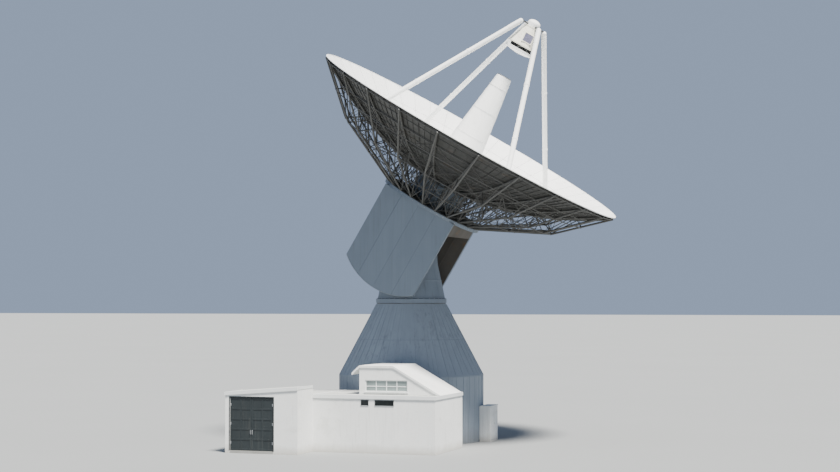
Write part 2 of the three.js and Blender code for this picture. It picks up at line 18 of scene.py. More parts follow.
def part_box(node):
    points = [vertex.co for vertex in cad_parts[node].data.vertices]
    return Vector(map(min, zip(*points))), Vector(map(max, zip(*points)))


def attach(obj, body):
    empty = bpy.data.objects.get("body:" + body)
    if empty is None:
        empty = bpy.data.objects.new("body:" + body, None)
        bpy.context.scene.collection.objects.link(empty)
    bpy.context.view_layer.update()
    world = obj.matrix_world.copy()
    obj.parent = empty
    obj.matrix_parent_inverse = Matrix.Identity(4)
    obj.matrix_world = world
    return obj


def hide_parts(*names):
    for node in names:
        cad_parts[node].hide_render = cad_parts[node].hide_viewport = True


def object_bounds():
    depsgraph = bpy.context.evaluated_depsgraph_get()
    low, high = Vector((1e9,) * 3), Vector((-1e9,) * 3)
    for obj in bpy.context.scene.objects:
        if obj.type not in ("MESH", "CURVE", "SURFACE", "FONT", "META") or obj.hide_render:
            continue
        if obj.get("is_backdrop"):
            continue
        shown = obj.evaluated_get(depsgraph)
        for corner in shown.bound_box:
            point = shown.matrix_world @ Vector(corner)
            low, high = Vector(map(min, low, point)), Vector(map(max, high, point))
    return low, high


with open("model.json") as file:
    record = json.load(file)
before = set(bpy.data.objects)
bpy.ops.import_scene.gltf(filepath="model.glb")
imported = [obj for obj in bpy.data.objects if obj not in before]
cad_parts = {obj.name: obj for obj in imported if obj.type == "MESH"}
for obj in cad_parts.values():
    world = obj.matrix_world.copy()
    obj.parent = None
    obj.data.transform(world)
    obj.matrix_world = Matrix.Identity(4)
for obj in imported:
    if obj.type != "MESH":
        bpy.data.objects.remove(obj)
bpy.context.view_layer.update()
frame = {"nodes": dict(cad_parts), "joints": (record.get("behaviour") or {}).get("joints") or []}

bl_info = {
    "name": "Dish antenna",
    "version": (1, 0, 0),
    "blender": (4, 5, 0),
    "location": "View3D > Sidebar > Antenna",
    "description": "Makes the panels, trusses, cladding and service building of a dish antenna",
    "category": "Object",
}

FULL_TURN = 2 * math.pi
LEVEL = Matrix.Identity(4)
ACROSS = (0, 1, 0)
DOWN = (0, 0, -1)

# Steps round a large and a small turned piece
LARGE_ROUND = 96
SMALL_ROUND = 64

# The dish's own axes, from the elevation joint: at that joint's upper limit the dish looks straight up.
TILT_JOINT = next(joint for joint in frame["joints"] if joint["name"] == "elevation_tilt")
AXIS = Vector(TILT_JOINT["pos_m"])
DISH = Matrix.Translation(AXIS) @ Matrix.Rotation(math.radians(max(TILT_JOINT["range_deg"])), 4, "Y")


def dish_box(*nodes):
    """Lowest and highest corners of CAD nodes in the dish's own axes."""
    inverse = DISH.inverted()
    points = [inverse @ v.co for node in nodes for v in frame["nodes"][node].data.vertices]
    return [Vector(pick(values) for values in zip(*points)) for pick in (min, max)]


QUADRANTS = [f"reflector_quadrant_{i}" for i in range(1, 5)]
LATTICES = [f"back_structure_{i}" for i in range(1, 5)]
LEGS = [f"feed_leg_{i}" for i in range(1, 5)]

# Places in the dish's own axes, as radius and height along the line of sight
RIM = dish_box(*QUADRANTS)[1]
RIM_RADIUS, RIM_HEIGHT = RIM.y - 0.001, RIM.z
SHELL_DEPTH = 0.06
PANEL_RINGS = ((1.52, 3.0, 24), (3.0, 5.0, 24), (5.0, 7.0, 48), (7.0, 8.6, 48), (8.6, RIM_RADIUS, 48))
PANEL_SEAMS = [outer for _, outer, _ in PANEL_RINGS[:-1]]
CELLS_ROUND = 240
ADJUSTER_INSET = 0.12
HUB_RADIUS = 1.5
HUB_TOP = dish_box("central_hub")[1].z
DECK_RADIUS = 3.21
DECK_BOTTOM, DECK_TOP = (corner.z for corner in dish_box("hub_deck"))
KNEE = (7.228, 4.728)
RIB_TIP = RIM_RADIUS - 0.05
RIB_COUNT = 24
RIB_STEP = FULL_TURN / RIB_COUNT
FIRST_LEG = math.pi / 4
TOP_NODES = (1.62, 2.9, 4.3, 6.2, 8.15, RIB_TIP)
BOTTOM_NODES = (1.62, 3.15, 5.2, 7.15)
OUTER_HOOP = 8.5


def length(name, description, default):
    return FloatProperty(name=name, description=description, default=default, unit="LENGTH")


def colour(name, description, default):
    return FloatVectorProperty(name=name, description=description, default=default, subtype="COLOR",
                               min=0, max=1)


class AntennaSizes(bpy.types.PropertyGroup):
    """Sizes of the fine pieces that are made round the frame"""

    focal_length: length("Focal length", "Focal length of the main reflector", 7.5)
    panel_gap: length("Panel gap", "Gap between two reflector panels", 0.014)
    panel_sheet: length("Panel sheet", "Thickness of a reflector panel's sheet", 0.014)
    chord: length("Chord radius", "Radius of the ribs' chords", 0.058)
    web: length("Web radius", "Radius of the ribs' web bars", 0.03)
    brace: length("Brace radius", "Radius of the fine bracing", 0.015)
    ball: length("Joint radius", "Radius of the ball joints", 0.082)
    leg: length("Leg radius", "Radius of the legs of the subreflector", 0.15)
    sheet_gap: length("Sheet gap", "Gap between two cladding sheets", 0.009)
    bolt: length("Bolt radius", "Radius of a hexagon bolt head", 0.022)
    seams: IntProperty(name="Pedestal seams", description="Standing seams round the pedestal", default=48,
                       min=8)


class AntennaColours(bpy.types.PropertyGroup):
    """Base colours of the finishes"""

    panel: colour("Panels", "White paint of the reflector, feed and legs", (0.93, 0.94, 0.925))
    cladding: colour("Cladding", "Blue-grey paint of the trunk and the head", (0.175, 0.215, 0.265))
    # Lighter than the cladding of the same blue-grey: painted light on the pedestal, which stands in the
    # dish's shadow.
    pedestal: colour("Pedestal", "Blue-grey paint of the pedestal", (0.27, 0.315, 0.365))
    # Far darker than the back structure's own light grey paint: painted shade under the dish, with some
    # weathering.
    truss: colour("Truss", "Weathered paint of the back structure", (0.085, 0.085, 0.08))
    # Kept near black: painted shade under the reflector on the panels' bare backs.
    underside: colour("Panel backs", "Bare backs of the reflector panels", (0.04, 0.04, 0.037))
    # Dark brown: painted shade and painted ground reflection inside the trunk's underside.
    lining: colour("Lining", "Brown primer inside the trunk", (0.10, 0.092, 0.082))
    cream: colour("Cream", "Paint of the subreflector's cabin", (0.80, 0.78, 0.68))
    wall: colour("Walls", "White masonry paint of the building", (0.80, 0.81, 0.79))
    roof: colour("Roofs", "Pale roofing membrane", (0.50, 0.51, 0.49))
    door: colour("Doors", "Paint of the garage doors", (0.016, 0.022, 0.024))


def sizes():
    return bpy.context.scene.antenna_sizes


def colours():
    return bpy.context.scene.antenna_colours


# Node trees

class Network:
    """A node tree that is being put together."""

    def __init__(self, tree):
        self.tree = tree

    def feed(self, socket, value):
        if isinstance(value, bpy.types.NodeSocket):
            self.tree.links.new(value, socket)
        else:
            socket.default_value = value

    def node(self, kind, inputs=None, **settings):
        node = self.tree.nodes.new(kind)
        for name, value in settings.items():
            setattr(node, name, value)
        for key, value in (inputs or {}).items():
            self.feed(node.inputs[key], value)
        return node

    def add(self, kind, inputs=None, out=0, **settings):
        return self.node(kind, inputs, **settings).outputs[out]

    def calc(self, operation, *values, clamp=False):
        return self.add("ShaderNodeMath", dict(enumerate(values)), operation=operation, use_clamp=clamp)

    def split(self, vector):
        return self.node("ShaderNodeSeparateXYZ", {0: vector}).outputs


class Growth(Network):
    """A geometry tree with named inputs, from Geometry to Geometry."""

    def __init__(self, name, **inputs):
        super().__init__(bpy.data.node_groups.new(name, "GeometryNodeTree"))
        self.tree.interface.new_socket("Geometry", in_out="OUTPUT", socket_type="NodeSocketGeometry")
        for label, kind in {"Geometry": "Geometry", **inputs, "Seed": "Int", "Material": "Material"}.items():
            label = label.replace("_", " ")
            self.tree.interface.new_socket(label, in_out="INPUT", socket_type="NodeSocket" + kind)
        self.given = self.node("NodeGroupInput").outputs

    def vector(self, x=0.0, y=0.0, z=0.0):
        return self.add("ShaderNodeCombineXYZ", {"X": x, "Y": y, "Z": z})

    def attribute(self, name, kind="FLOAT"):
        return self.add("GeometryNodeInputNamedAttribute", {"Name": name}, data_type=kind)

    def around(self, geometry):
        """Count copies of a geometry turned about Z, from the first angle on."""
        count = self.given["Count"]
        points = self.add("GeometryNodePoints", {"Count": count})
        index = self.add("GeometryNodeInputIndex")
        step = self.calc("DIVIDE", FULL_TURN, count)
        angle = self.calc("ADD", self.calc("MULTIPLY", index, step), self.given["First Angle"])
        turn = self.add("FunctionNodeEulerToRotation", {"Euler": self.vector(z=angle)})
        return self.realized({"Points": points, "Instance": geometry, "Rotation": turn})

    def realized(self, copies):
        """Real geometry on points, each copy with a chance value of its own in the attribute tint."""
        placed = self.add("GeometryNodeInstanceOnPoints", copies)
        chance = self.add("FunctionNodeRandomValue", {"Seed": self.given["Seed"]}, out=1, data_type="FLOAT")
        tinted = self.add("GeometryNodeStoreNamedAttribute", {
            "Geometry": placed, "Name": "tint", "Value": chance}, data_type="FLOAT", domain="INSTANCE")
        return self.add("GeometryNodeRealizeInstances", {"Geometry": tinted})

    def painted(self, geometry, label="Material", **where):
        material = self.given[label]
        return self.add("GeometryNodeSetMaterial", {"Geometry": geometry, "Material": material, **where})

    def end(self, geometry):
        self.node("NodeGroupOutput", {"Geometry": geometry})
        return self.tree


def grow(obj, tree, **values):
    """Runs a geometry tree on an object and keeps the plain mesh that comes out."""
    modifier = obj.modifiers.new(tree.name, "NODES")
    modifier.node_group = tree
    for item in tree.interface.items_tree:
        key = item.name.replace(" ", "_")
        if item.in_out == "INPUT" and key in values:
            modifier[item.identifier] = values[key]
    depsgraph = bpy.context.evaluated_depsgraph_get()
    mesh = bpy.data.meshes.new_from_object(obj.evaluated_get(depsgraph))
    obj.modifiers.clear()
    obj.data = mesh
    return obj


@cache
def ring_tree():
    """Count copies of a piece, turned about Z from a first angle."""
    net = Growth("Copies around", Count="Int", First_Angle="Float")
    return net.end(net.painted(net.around(net.given["Geometry"])))


@cache
def row_tree():
    """Count copies of a piece, each a step further on."""
    net = Growth("Copies in a row", Count="Int", Step="Vector")
    index = net.add("GeometryNodeInputIndex")
    place = net.add("ShaderNodeVectorMath", {0: net.given["Step"], "Scale": index}, operation="SCALE")
    points = net.add("GeometryNodePoints", {"Count": net.given["Count"], "Position": place})
    return net.end(net.painted(net.realized({"Points": points, "Instance": net.given["Geometry"]})))


@cache
def bar_tree():
    """Round bars along loose edges, copied about Z. Each edge's radius is in the attribute bar."""
    net = Growth("Bars around", Count="Int", First_Angle="Float", Sides="Int")
    curves = net.add("GeometryNodeMeshToCurve", {"Mesh": net.around(net.given["Geometry"])})
    profile = net.add("GeometryNodeCurvePrimitiveCircle", {"Resolution": net.given["Sides"], "Radius": 1.0})
    return net.end(net.painted(net.add("GeometryNodeCurveToMesh", {
        "Curve": curves, "Profile Curve": profile, "Scale": net.attribute("bar"), "Fill Caps": True})))


@cache
def ball_tree():
    """Balls on points, copied about Z. Each point's radius is in the attribute bar."""
    net = Growth("Balls around", Count="Int", First_Angle="Float")
    points = net.around(net.given["Geometry"])
    ball = net.add("GeometryNodeMeshIcoSphere", {"Radius": 1.0, "Subdivisions": 2})
    balls = net.realized({"Points": points, "Instance": ball, "Scale": net.attribute("bar")})
    return net.end(net.painted(balls))


@cache
def bolt_tree():
    """Hexagon bolt heads standing on points, along each point's own direction in the attribute facing."""
    net = Growth("Bolt heads", Radius="Float", Height="Float")
    head = net.add("GeometryNodeMeshCylinder", {
        "Vertices": 6, "Radius": net.given["Radius"], "Depth": net.given["Height"]})
    facing = {"Vector": net.attribute("facing", "FLOAT_VECTOR")}
    turn = net.add("FunctionNodeAlignRotationToVector", facing, axis="Z")
    heads = net.realized({"Points": net.given["Geometry"], "Instance": head, "Rotation": turn})
    return net.end(net.painted(heads))


@cache
def panel_tree():
    """One ring of paraboloid panels: a grid is bent onto the dish, given its thickness and copied about Z."""
    lengths = "Inner_Radius Outer_Radius Gap Thickness Focal_Length Rim_Radius Rim_Height".split()
    net = Growth("Paraboloid panels", Count="Int", First_Angle="Float", Cells="Int", Back_Material="Material",
                 **dict.fromkeys(lengths, "Float"))
    given, calc = net.given, net.calc
    columns, rows = 5, calc("ADD", given["Cells"], 1)
    grid = net.add("GeometryNodeMeshGrid", {
        "Size X": 1.0, "Size Y": 1.0, "Vertices X": columns, "Vertices Y": rows})
    place = net.split(net.add("GeometryNodeInputPosition"))
    span = calc("SUBTRACT", calc("SUBTRACT", given["Outer Radius"], given["Inner Radius"]), given["Gap"])
    start = calc("MULTIPLY_ADD", given["Gap"], 0.5, given["Inner Radius"])
    radius = calc("MULTIPLY_ADD", calc("ADD", place["X"], 0.5), span, start)
    sweep = calc("SUBTRACT", calc("DIVIDE", FULL_TURN, given["Count"]), calc("DIVIDE", given["Gap"], radius))
    angle = calc("MULTIPLY", place["Y"], sweep)
    rise = calc("SUBTRACT", calc("POWER", radius, 2.0), calc("POWER", given["Rim Radius"], 2.0))
    fall = calc("DIVIDE", rise, calc("MULTIPLY", given["Focal Length"], 4.0))
    bent = net.vector(calc("MULTIPLY", radius, calc("COSINE", angle)),
                      calc("MULTIPLY", radius, calc("SINE", angle)),
                      calc("ADD", given["Rim Height"], fall))
    front = net.add("GeometryNodeSetPosition", {"Geometry": grid, "Position": bent})
    depth = calc("MULTIPLY", given["Thickness"], -1.0)
    pushed = net.add("GeometryNodeExtrudeMesh", {"Mesh": front, "Offset Scale": depth, "Individual": False})
    back = net.add("GeometryNodeFlipFaces", {"Mesh": pushed})
    join = net.node("GeometryNodeJoinGeometry")
    for half in (front, back):
        net.feed(join.inputs[0], half)
    panel = net.add("GeometryNodeMergeByDistance", {"Geometry": join.outputs[0], "Distance": 0.0005})
    panels = net.painted(net.around(panel))
    behind = calc("LESS_THAN", net.split(net.add("GeometryNodeInputNormal"))["Z"], 0.2)
    return net.end(net.painted(panels, "Back Material", Selection=behind))


# Finishes

class Look(Network):
    """A procedural finish: a colour, a roughness and a bump that each layer changes in turn."""

    def __init__(self, name, base, roughness=0.5, metallic=0.0, specular=0.5):
        self.material = bpy.data.materials.new(name)
        self.material.use_nodes = True
        super().__init__(self.material.node_tree)
        self.shader = self.tree.nodes["Principled BSDF"].inputs
        self.shader["Metallic"].default_value = metallic
        self.shader["Specular IOR Level"].default_value = specular
        self.colour = tuple(base)
        self.roughness = roughness
        self.height = None
        self.place = self.add("ShaderNodeTexCoord", out="Object")

    def noise(self, scale, stretch=(1, 1, 1), detail=4.0, roughness=0.55):
        mapped = self.add("ShaderNodeMapping", {"Vector": self.place, "Scale": stretch})
        return self.add("ShaderNodeTexNoise", {
            "Vector": mapped, "Scale": scale, "Detail": detail, "Roughness": roughness})

    def between(self, value, low, high, to_low=0.0, to_high=1.0, smooth=True):
        return self.add("ShaderNodeMapRange", {
            "Value": value, "From Min": low, "From Max": high, "To Min": to_low, "To Max": to_high},
            interpolation_type="SMOOTHSTEP" if smooth else "LINEAR")

    def vary(self, value, low, high, amount):
        """Lightens and darkens the colour by an amount as a value goes from low to high."""
        factor = self.between(value, low, high, 1 - amount, 1 + amount, smooth=False)
        self.colour = self.add("ShaderNodeVectorMath", {0: self.colour, "Scale": factor}, operation="SCALE")
        return self

    def stain(self, mask, amount, tone):
        """Mixes in a tone."""
        base = (*self.colour, 1) if isinstance(self.colour, tuple) else self.colour
        share = self.calc("MULTIPLY", mask, amount)
        self.colour = self.add("ShaderNodeMix", {0: share, 6: base, 7: (*tone, 1)}, out=2, data_type="RGBA")
        return self

    def mottle(self, scale, amount, stretch=(1, 1, 1)):
        return self.vary(self.noise(scale, stretch), 0.25, 0.75, amount)

    def tint(self, amount):
        """Lightens or darkens each sheet or panel by its own chance value."""
        return self.vary(self.add("ShaderNodeAttribute", out="Fac", attribute_name="tint"), 0, 1, amount)

    def streaks(self, tone, amount, width=0.25, length=4.0):
        """Rain marks that run down."""
        fine = self.noise(1.0, (1 / width, 1 / width, 1 / length), detail=5.0)
        broad = self.noise(0.35, detail=2.0)
        mask = self.calc("MULTIPLY", self.between(fine, 0.5, 0.74), self.between(broad, 0.35, 0.65))
        return self.stain(mask, amount, tone)

    def splash(self, tone, amount, top):
        """Dirt thrown up from the ground, fading out at a height."""
        edge = self.calc("MULTIPLY_ADD", self.noise(1.6, detail=6.0), top, top * 0.35)
        low = self.calc("SUBTRACT", 1.0, self.calc("DIVIDE", self.split(self.place)["Z"], edge), clamp=True)
        return self.stain(low, amount, tone)

    def patches(self, tone, amount, scale, threshold=0.62, soft=0.06):
        noise = self.noise(scale, detail=8.0, roughness=0.65)
        return self.stain(self.between(noise, threshold, threshold + soft), amount, tone)

    def gloss(self, scale, low, high):
        """Roughness that wanders between two values."""
        self.roughness = self.between(self.noise(scale, detail=3.0), 0.3, 0.7, low, high, smooth=False)
        return self

    def bump(self, scale, depth, detail=4.0):
        scaled = self.calc("MULTIPLY", self.noise(scale, detail=detail), depth)
        self.height = self.calc("ADD", self.height, scaled) if self.height else scaled
        return self

    def done(self):
        self.feed(self.shader["Base Color"], self.colour)
        self.feed(self.shader["Roughness"], self.roughness)
        if self.height:
            normal = self.add("ShaderNodeBump", {"Height": self.height, "Strength": 1.0, "Distance": 1.0})
            self.feed(self.shader["Normal"], normal)
        return self.material


@cache
def panel_paint():
    look = Look("panel_paint", colours().panel, specular=0.4)
    look.tint(0.035).mottle(0.5, 0.03).patches((0.46, 0.45, 0.40), 0.25, 1.3, 0.6, 0.2)
    return look.streaks((0.42, 0.41, 0.36), 0.22, 0.18, 3.0).gloss(2.0, 0.38, 0.55).bump(40, 0.0004).done()


# The panel backs and their frames are darkened to near black as painted shade under the reflector; the brown
# patches are dirt.
@cache
def panel_back():
    look = Look("panel_back", colours().underside)
    look.tint(0.12).mottle(0.8, 0.14).patches((0.11, 0.08, 0.055), 0.5, 1.1, 0.55, 0.2)
    return look.gloss(3.0, 0.45, 0.65).bump(30, 0.0006).done()


# Back structure paint darkened as painted shade under the reflector; the brown patches are rust and the
# streaks dirt.
@cache
def truss_paint():
    look = Look("truss_paint", colours().truss)
    look.mottle(0.9, 0.16).patches((0.10, 0.065, 0.04), 0.6, 2.2, 0.62, 0.08)
    return look.streaks((0.10, 0.085, 0.07), 0.5, 0.12, 1.5).gloss(4.0, 0.45, 0.7).bump(60, 0.0008).done()


def sheet_paint(name, base):
    look = Look(name, base, specular=0.45)
    look.tint(0.035).mottle(0.35, 0.03).mottle(1.0, 0.05, (3.0, 3.0, 0.25))
    look.streaks((0.085, 0.09, 0.09), 0.35, 0.16, 5.0).streaks((0.27, 0.30, 0.33), 0.1, 0.22, 4.0)
    look.splash((0.12, 0.11, 0.09), 0.5, 1.1)
    return look.gloss(1.5, 0.6, 0.78).bump(1.2, 0.006).bump(45, 0.0005).done()


@cache
def cladding_paint():
    return sheet_paint("cladding_paint", colours().cladding)


# A lightened copy of the cladding paint: painted light that brightens the pedestal in the dish's shadow.
@cache
def pedestal_paint():
    return sheet_paint("pedestal_paint", colours().pedestal)


# Lighter grey than the cladding: partly a metal trim, partly a painted highlight where sun catches the
# cheeks' lower edge.
@cache
def trim_paint():
    look = Look("trim_paint", (0.40, 0.43, 0.45), metallic=0.2)
    return look.mottle(1.5, 0.08).gloss(3.0, 0.35, 0.5).done()


@cache
def white_trim():
    look = Look("white_trim", (0.72, 0.74, 0.73), specular=0.4)
    return look.mottle(1.2, 0.05).streaks((0.45, 0.46, 0.43), 0.25, 0.1, 1.5).gloss(3.0, 0.4, 0.6).done()


@cache
def shadow_gap():
    return Look("shadow_gap", (0.03, 0.032, 0.034), roughness=0.85).mottle(4.0, 0.3).done()


# Dark brown inside the trunk: painted shade and a painted reflection of the ground, with patches of a warmer
# brown.
@cache
def lining_primer():
    look = Look("lining_primer", colours().lining, roughness=0.8, specular=0.25)
    return look.mottle(0.7, 0.25).patches((0.16, 0.10, 0.06), 0.6, 1.8, 0.55, 0.15).bump(25, 0.001).done()


@cache
def cream_paint():
    look = Look("cream_paint", colours().cream)
    return look.mottle(1.4, 0.06).streaks((0.32, 0.27, 0.18), 0.4, 0.08, 0.9).gloss(3.0, 0.4, 0.55).done()


@cache
def dark_steel():
    look = Look("dark_steel", (0.11, 0.115, 0.12), metallic=0.6)
    look.mottle(2.5, 0.25).patches((0.12, 0.07, 0.04), 0.5, 3.0, 0.6, 0.12)
    return look.gloss(5.0, 0.35, 0.6).done()


@cache
def zinc():
    look = Look("zinc", (0.42, 0.43, 0.44), metallic=0.85)
    return look.mottle(9.0, 0.15).gloss(12.0, 0.35, 0.6).done()


@cache
def wall_render():
    look = Look("wall_render", colours().wall, specular=0.3)
    look.mottle(0.6, 0.04).mottle(7.0, 0.03).streaks((0.45, 0.46, 0.43), 0.3, 0.14, 2.2)
    look.splash((0.30, 0.27, 0.21), 0.55, 0.6).patches((0.50, 0.52, 0.46), 0.25, 0.9, 0.58, 0.12)
    return look.gloss(8.0, 0.75, 0.9).bump(28, 0.004, detail=8.0).bump(1.1, 0.01).done()


@cache
def roof_sheet():
    look = Look("roof_sheet", colours().roof, specular=0.3)
    look.mottle(0.7, 0.08).mottle(40, 0.06).patches((0.30, 0.30, 0.27), 0.4, 1.2, 0.6, 0.15)
    return look.gloss(5.0, 0.75, 0.95).bump(90, 0.003).bump(2.0, 0.01).done()


@cache
def floor_concrete():
    look = Look("floor_concrete", (0.30, 0.30, 0.28), roughness=0.85)
    return look.mottle(1.1, 0.15).patches((0.10, 0.095, 0.085), 0.5, 1.4, 0.6, 0.15).bump(30, 0.003).done()


@cache
def door_paint():
    look = Look("door_paint", colours().door)
    return look.mottle(1.5, 0.15).streaks((0.10, 0.10, 0.09), 0.35, 0.1, 1.4).gloss(4.0, 0.35, 0.55).done()


@cache
def window_glass():
    look = Look("window_glass", (0.20, 0.245, 0.24), specular=0.8)
    return look.mottle(0.8, 0.3).gloss(1.0, 0.04, 0.12).done()


@cache
def hatch_glass():
    look = Look("hatch_glass", (0.13, 0.13, 0.19), specular=0.7)
    return look.mottle(2.0, 0.12).gloss(3.0, 0.12, 0.25).done()


# Body, material slot and finish of like pieces
WHITE = ("dish", "panel_white", panel_paint)
CREAM = ("dish", "cabin_cream", cream_paint)
TRUSS = ("dish", "lattice_steel", truss_paint)
TRUNK_SKIN = ("dish", "cladding", cladding_paint)
HEAD_SKIN = ("azimuth_head", "cladding", cladding_paint)
BEARING = ("azimuth_head", "bearing_steel", dark_steel)
PEDESTAL_SKIN = ("base", "cladding", pedestal_paint)
WHITE_TRIM = ("base", "render", white_trim)


# Shapes

def spread(start, end, steps):
    """Evenly spaced values from start to end, both included."""
    return [start + (end - start) * i / steps for i in range(steps + 1)]


def polar(radius, height, angle=0.0):
    return Vector((radius * math.cos(angle), radius * math.sin(angle), height))


def arc(radius, height, bend, angles):
    """Points of a profile round a centre at a radius and height."""
    return [(radius + bend * math.cos(a), height + bend * math.sin(a)) for a in angles]


def hoop(inner, outer, low, high):
    """The square-edged profile of a ring, or of a disc where inner is 0."""
    return [(inner, low), (outer, low), (outer, high), (inner, high)]


def along_line(stops, height):
    """The radius at a height on a line of (radius, height) stops."""
    for (r0, z0), (r1, z1) in zip(stops, stops[1:]):
        if height <= z1:
            break
    return r0 + (r1 - r0) * (height - z0) / (z1 - z0)


def add_block(bm, low, high):
    matrix = Matrix.LocRotScale((Vector(low) + Vector(high)) / 2, None, Vector(high) - Vector(low))
    return bmesh.ops.create_cube(bm, size=1.0, matrix=matrix)["verts"]


def add_prism(bm, points, low, high):
    """An outline in the XZ plane drawn out along Y."""
    near = [bm.verts.new((x, low, z)) for x, z in points]
    far = [bm.verts.new((x, high, z)) for x, z in points]
    bm.faces.new(near)
    bm.faces.new(far[::-1])
    for i in range(len(points)):
        bm.faces.new((near[i], near[i - 1], far[i - 1], far[i]))
    return near + far


def add_lathe(bm, profile, steps, start=0.0, sweep=FULL_TURN, place=None):
    """A profile of (radius, height) turned about Z. One that ends off the axis closes on itself."""
    whole = sweep == FULL_TURN
    poles = {i: bm.verts.new((0, 0, height)) for i, (radius, height) in enumerate(profile) if radius == 0}
    columns = []
    for k in range(steps if whole else steps + 1):
        angle = start + sweep * k / steps
        column = [poles.get(i) or bm.verts.new(polar(*point, angle)) for i, point in enumerate(profile)]
        columns.append(column)
    pairs = len(profile) if profile[0][0] > 0 else len(profile) - 1
    for k in range(steps):
        left, right = columns[k], columns[(k + 1) % len(columns)]
        for i in range(pairs):
            j = (i + 1) % len(profile)
            corners = list(dict.fromkeys((left[i], right[i], right[j], left[j])))
            if len(corners) > 2:
                bm.faces.new(corners)
    if not whole:
        bm.faces.new(columns[0])
        bm.faces.new(columns[-1][::-1])
    if place:
        verts = list(dict.fromkeys(vertex for column in columns for vertex in column))
        bmesh.ops.transform(bm, matrix=place, verts=verts)


def add_tube(bm, start, end, radius, steps=24):
    """A round bar with slightly eased ends."""
    length = (end - start).length
    ease = min(0.01, radius / 4)
    profile = [(0, 0), (radius - ease, 0), (radius, ease), (radius, length - ease), (radius - ease, length),
               (0, length)]
    turn = (end - start).to_track_quat("Z", "Y").to_matrix().to_4x4()
    add_lathe(bm, profile, steps, place=Matrix.Translation(start) @ turn)


def add_beam(bm, start, end, width, depth, side=ACROSS):
    """A straight square-edged bar. Its width runs along side, and its depth across both."""
    start, end = Vector(start), Vector(end)
    along = (end - start).normalized()
    across = (Vector(side) - along * along.dot(side)).normalized()
    turn = Matrix((across, along.cross(across), along)).transposed().to_4x4()
    verts = add_block(bm, (-width / 2, -depth / 2, 0), (width / 2, depth / 2, (end - start).length))
    bmesh.ops.transform(bm, matrix=Matrix.Translation(start) @ turn, verts=verts)


def add_strip(bm, points, sides, width, depth):
    """A flat bar that hangs below a line of points, its width along each point's side."""
    drop = Vector(DOWN) * depth
    rows = []
    for point, side in zip(points, sides):
        reach = Vector(side).normalized() * width / 2
        corners = (point + reach, point - reach, point - reach + drop, point + reach + drop)
        rows.append([bm.verts.new(corner) for corner in corners])
    bm.faces.new(rows[0])
    bm.faces.new(rows[-1][::-1])
    for a, b in zip(rows, rows[1:]):
        for i in range(4):
            bm.faces.new((a[i - 1], b[i - 1], b[i], a[i]))


def soften(bm, width, least_angle=0.6):
    """A small bevel on every edge that is sharper than an angle."""
    sharp = [edge for edge in bm.edges if len(edge.link_faces) == 2 and edge.calc_face_angle(0) > least_angle]
    bmesh.ops.bevel(bm, geom=sharp, offset=width, segments=1, affect="EDGES", clamp_overlap=True)


def linked(name, data):
    obj = bpy.data.objects.new(name, data)
    bpy.context.scene.collection.objects.link(obj)
    return obj


def settle(obj, body, slot, finish=None, place=LEVEL, stands_for=(), crease=35):
    """Puts a finished mesh in its place and hands it to the frame. Places on the dish are in its own axes."""
    if finish:
        obj.data.materials.clear()
        obj.data.materials.append(finish())
    obj.data.transform(DISH @ place if body == "dish" else place)
    obj.data.shade_smooth()
    obj.data.set_sharp_from_angle(angle=math.radians(crease))
    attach(obj, body)
    if stands_for:
        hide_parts(*stands_for)


def round_z(count, first_angle, seed):
    """The tree and its values for copies of a piece turned about Z."""
    return ring_tree(), {"Count": count, "First_Angle": first_angle, "Seed": seed}


@contextmanager
def shaping(name, body, slot, finish, bevel=0.0, grown=None, **rest):
    """A piece made of what the lines under this one put in the bmesh, its faces pointing out."""
    bm = bmesh.new()
    yield bm
    if bevel:
        soften(bm, bevel)
    bmesh.ops.recalc_face_normals(bm, faces=bm.faces)
    mesh = bpy.data.meshes.new(name)
    bm.to_mesh(mesh)
    bm.free()
    obj = linked(name, mesh)
    if grown:
        tree, values = grown
        grow(obj, tree, Material=finish(), **values)
        finish = None
    settle(obj, body, slot, finish, **rest)


def turned(name, profile, *where, steps=LARGE_ROUND, **rest):
    """A piece that is one profile turned about Z."""
    with shaping(name, *where, **rest) as bm:
        add_lathe(bm, profile, steps)


def block(name, low, high, *where, **rest):
    """A piece that is one block."""
    with shaping(name, *where, **rest) as bm:
        add_block(bm, low, high)


def bands(name, radius_at, heights, *where, inset=0.03, proud=0.02, half=0.035):
    """Flat hoops round a tapered piece, which stand proud of it at heights along it."""
    with shaping(name, *where) as bm:
        for height in heights:
            radius = radius_at(height)
            add_lathe(bm, hoop(radius - inset, radius + proud, height - half, height + half), LARGE_ROUND)


def strips(name, points, width, depth, *where, **rest):
    """Flat bars along a line of points."""
    with shaping(name, *where, **rest) as bm:
        for start, end in zip(points, points[1:]):
            add_beam(bm, start, end, width, depth)


def loose(name, points, edges, label, values):
    """Loose points and edges, with a number or a direction at each point that a tree reads."""
    mesh = bpy.data.meshes.new(name)
    mesh.from_pydata(points, edges, [])
    kind, field = ("FLOAT_VECTOR", "vector") if isinstance(values[0], Vector) else ("FLOAT", "value")
    attribute = mesh.attributes.new(label, kind, "POINT")
    for item, value in zip(attribute.data, values):
        setattr(item, field, value)
    return linked(name, mesh)


class Bars:
    """Straight round bars, each with its own radius."""

    def __init__(self):
        self.ends = []
        self.radii = []

    def add(self, start, end, radius):
        self.ends += [start, end]
        self.radii += [radius, radius]

    def chain(self, points, radius):
        for start, end in zip(points, points[1:]):
            self.add(start, end, radius)

    def grown(self, name, **values):
        edges = [(i, i + 1) for i in range(0, len(self.ends), 2)]
        return grow(loose(name, self.ends, edges, "bar", self.radii), bar_tree(), **values)


def bolts(name, dots, body, slot, scale=1.0):
    """Hexagon heads on dots, each a place and the direction that it faces."""
    places, facings = zip(*dots)
    radius = sizes().bolt * scale
    heads = grow(loose(name, places, [], "facing", facings), bolt_tree(), Radius=radius, Height=radius * 1.3,
                 Material=zinc())
    settle(heads, body, slot, crease=20)


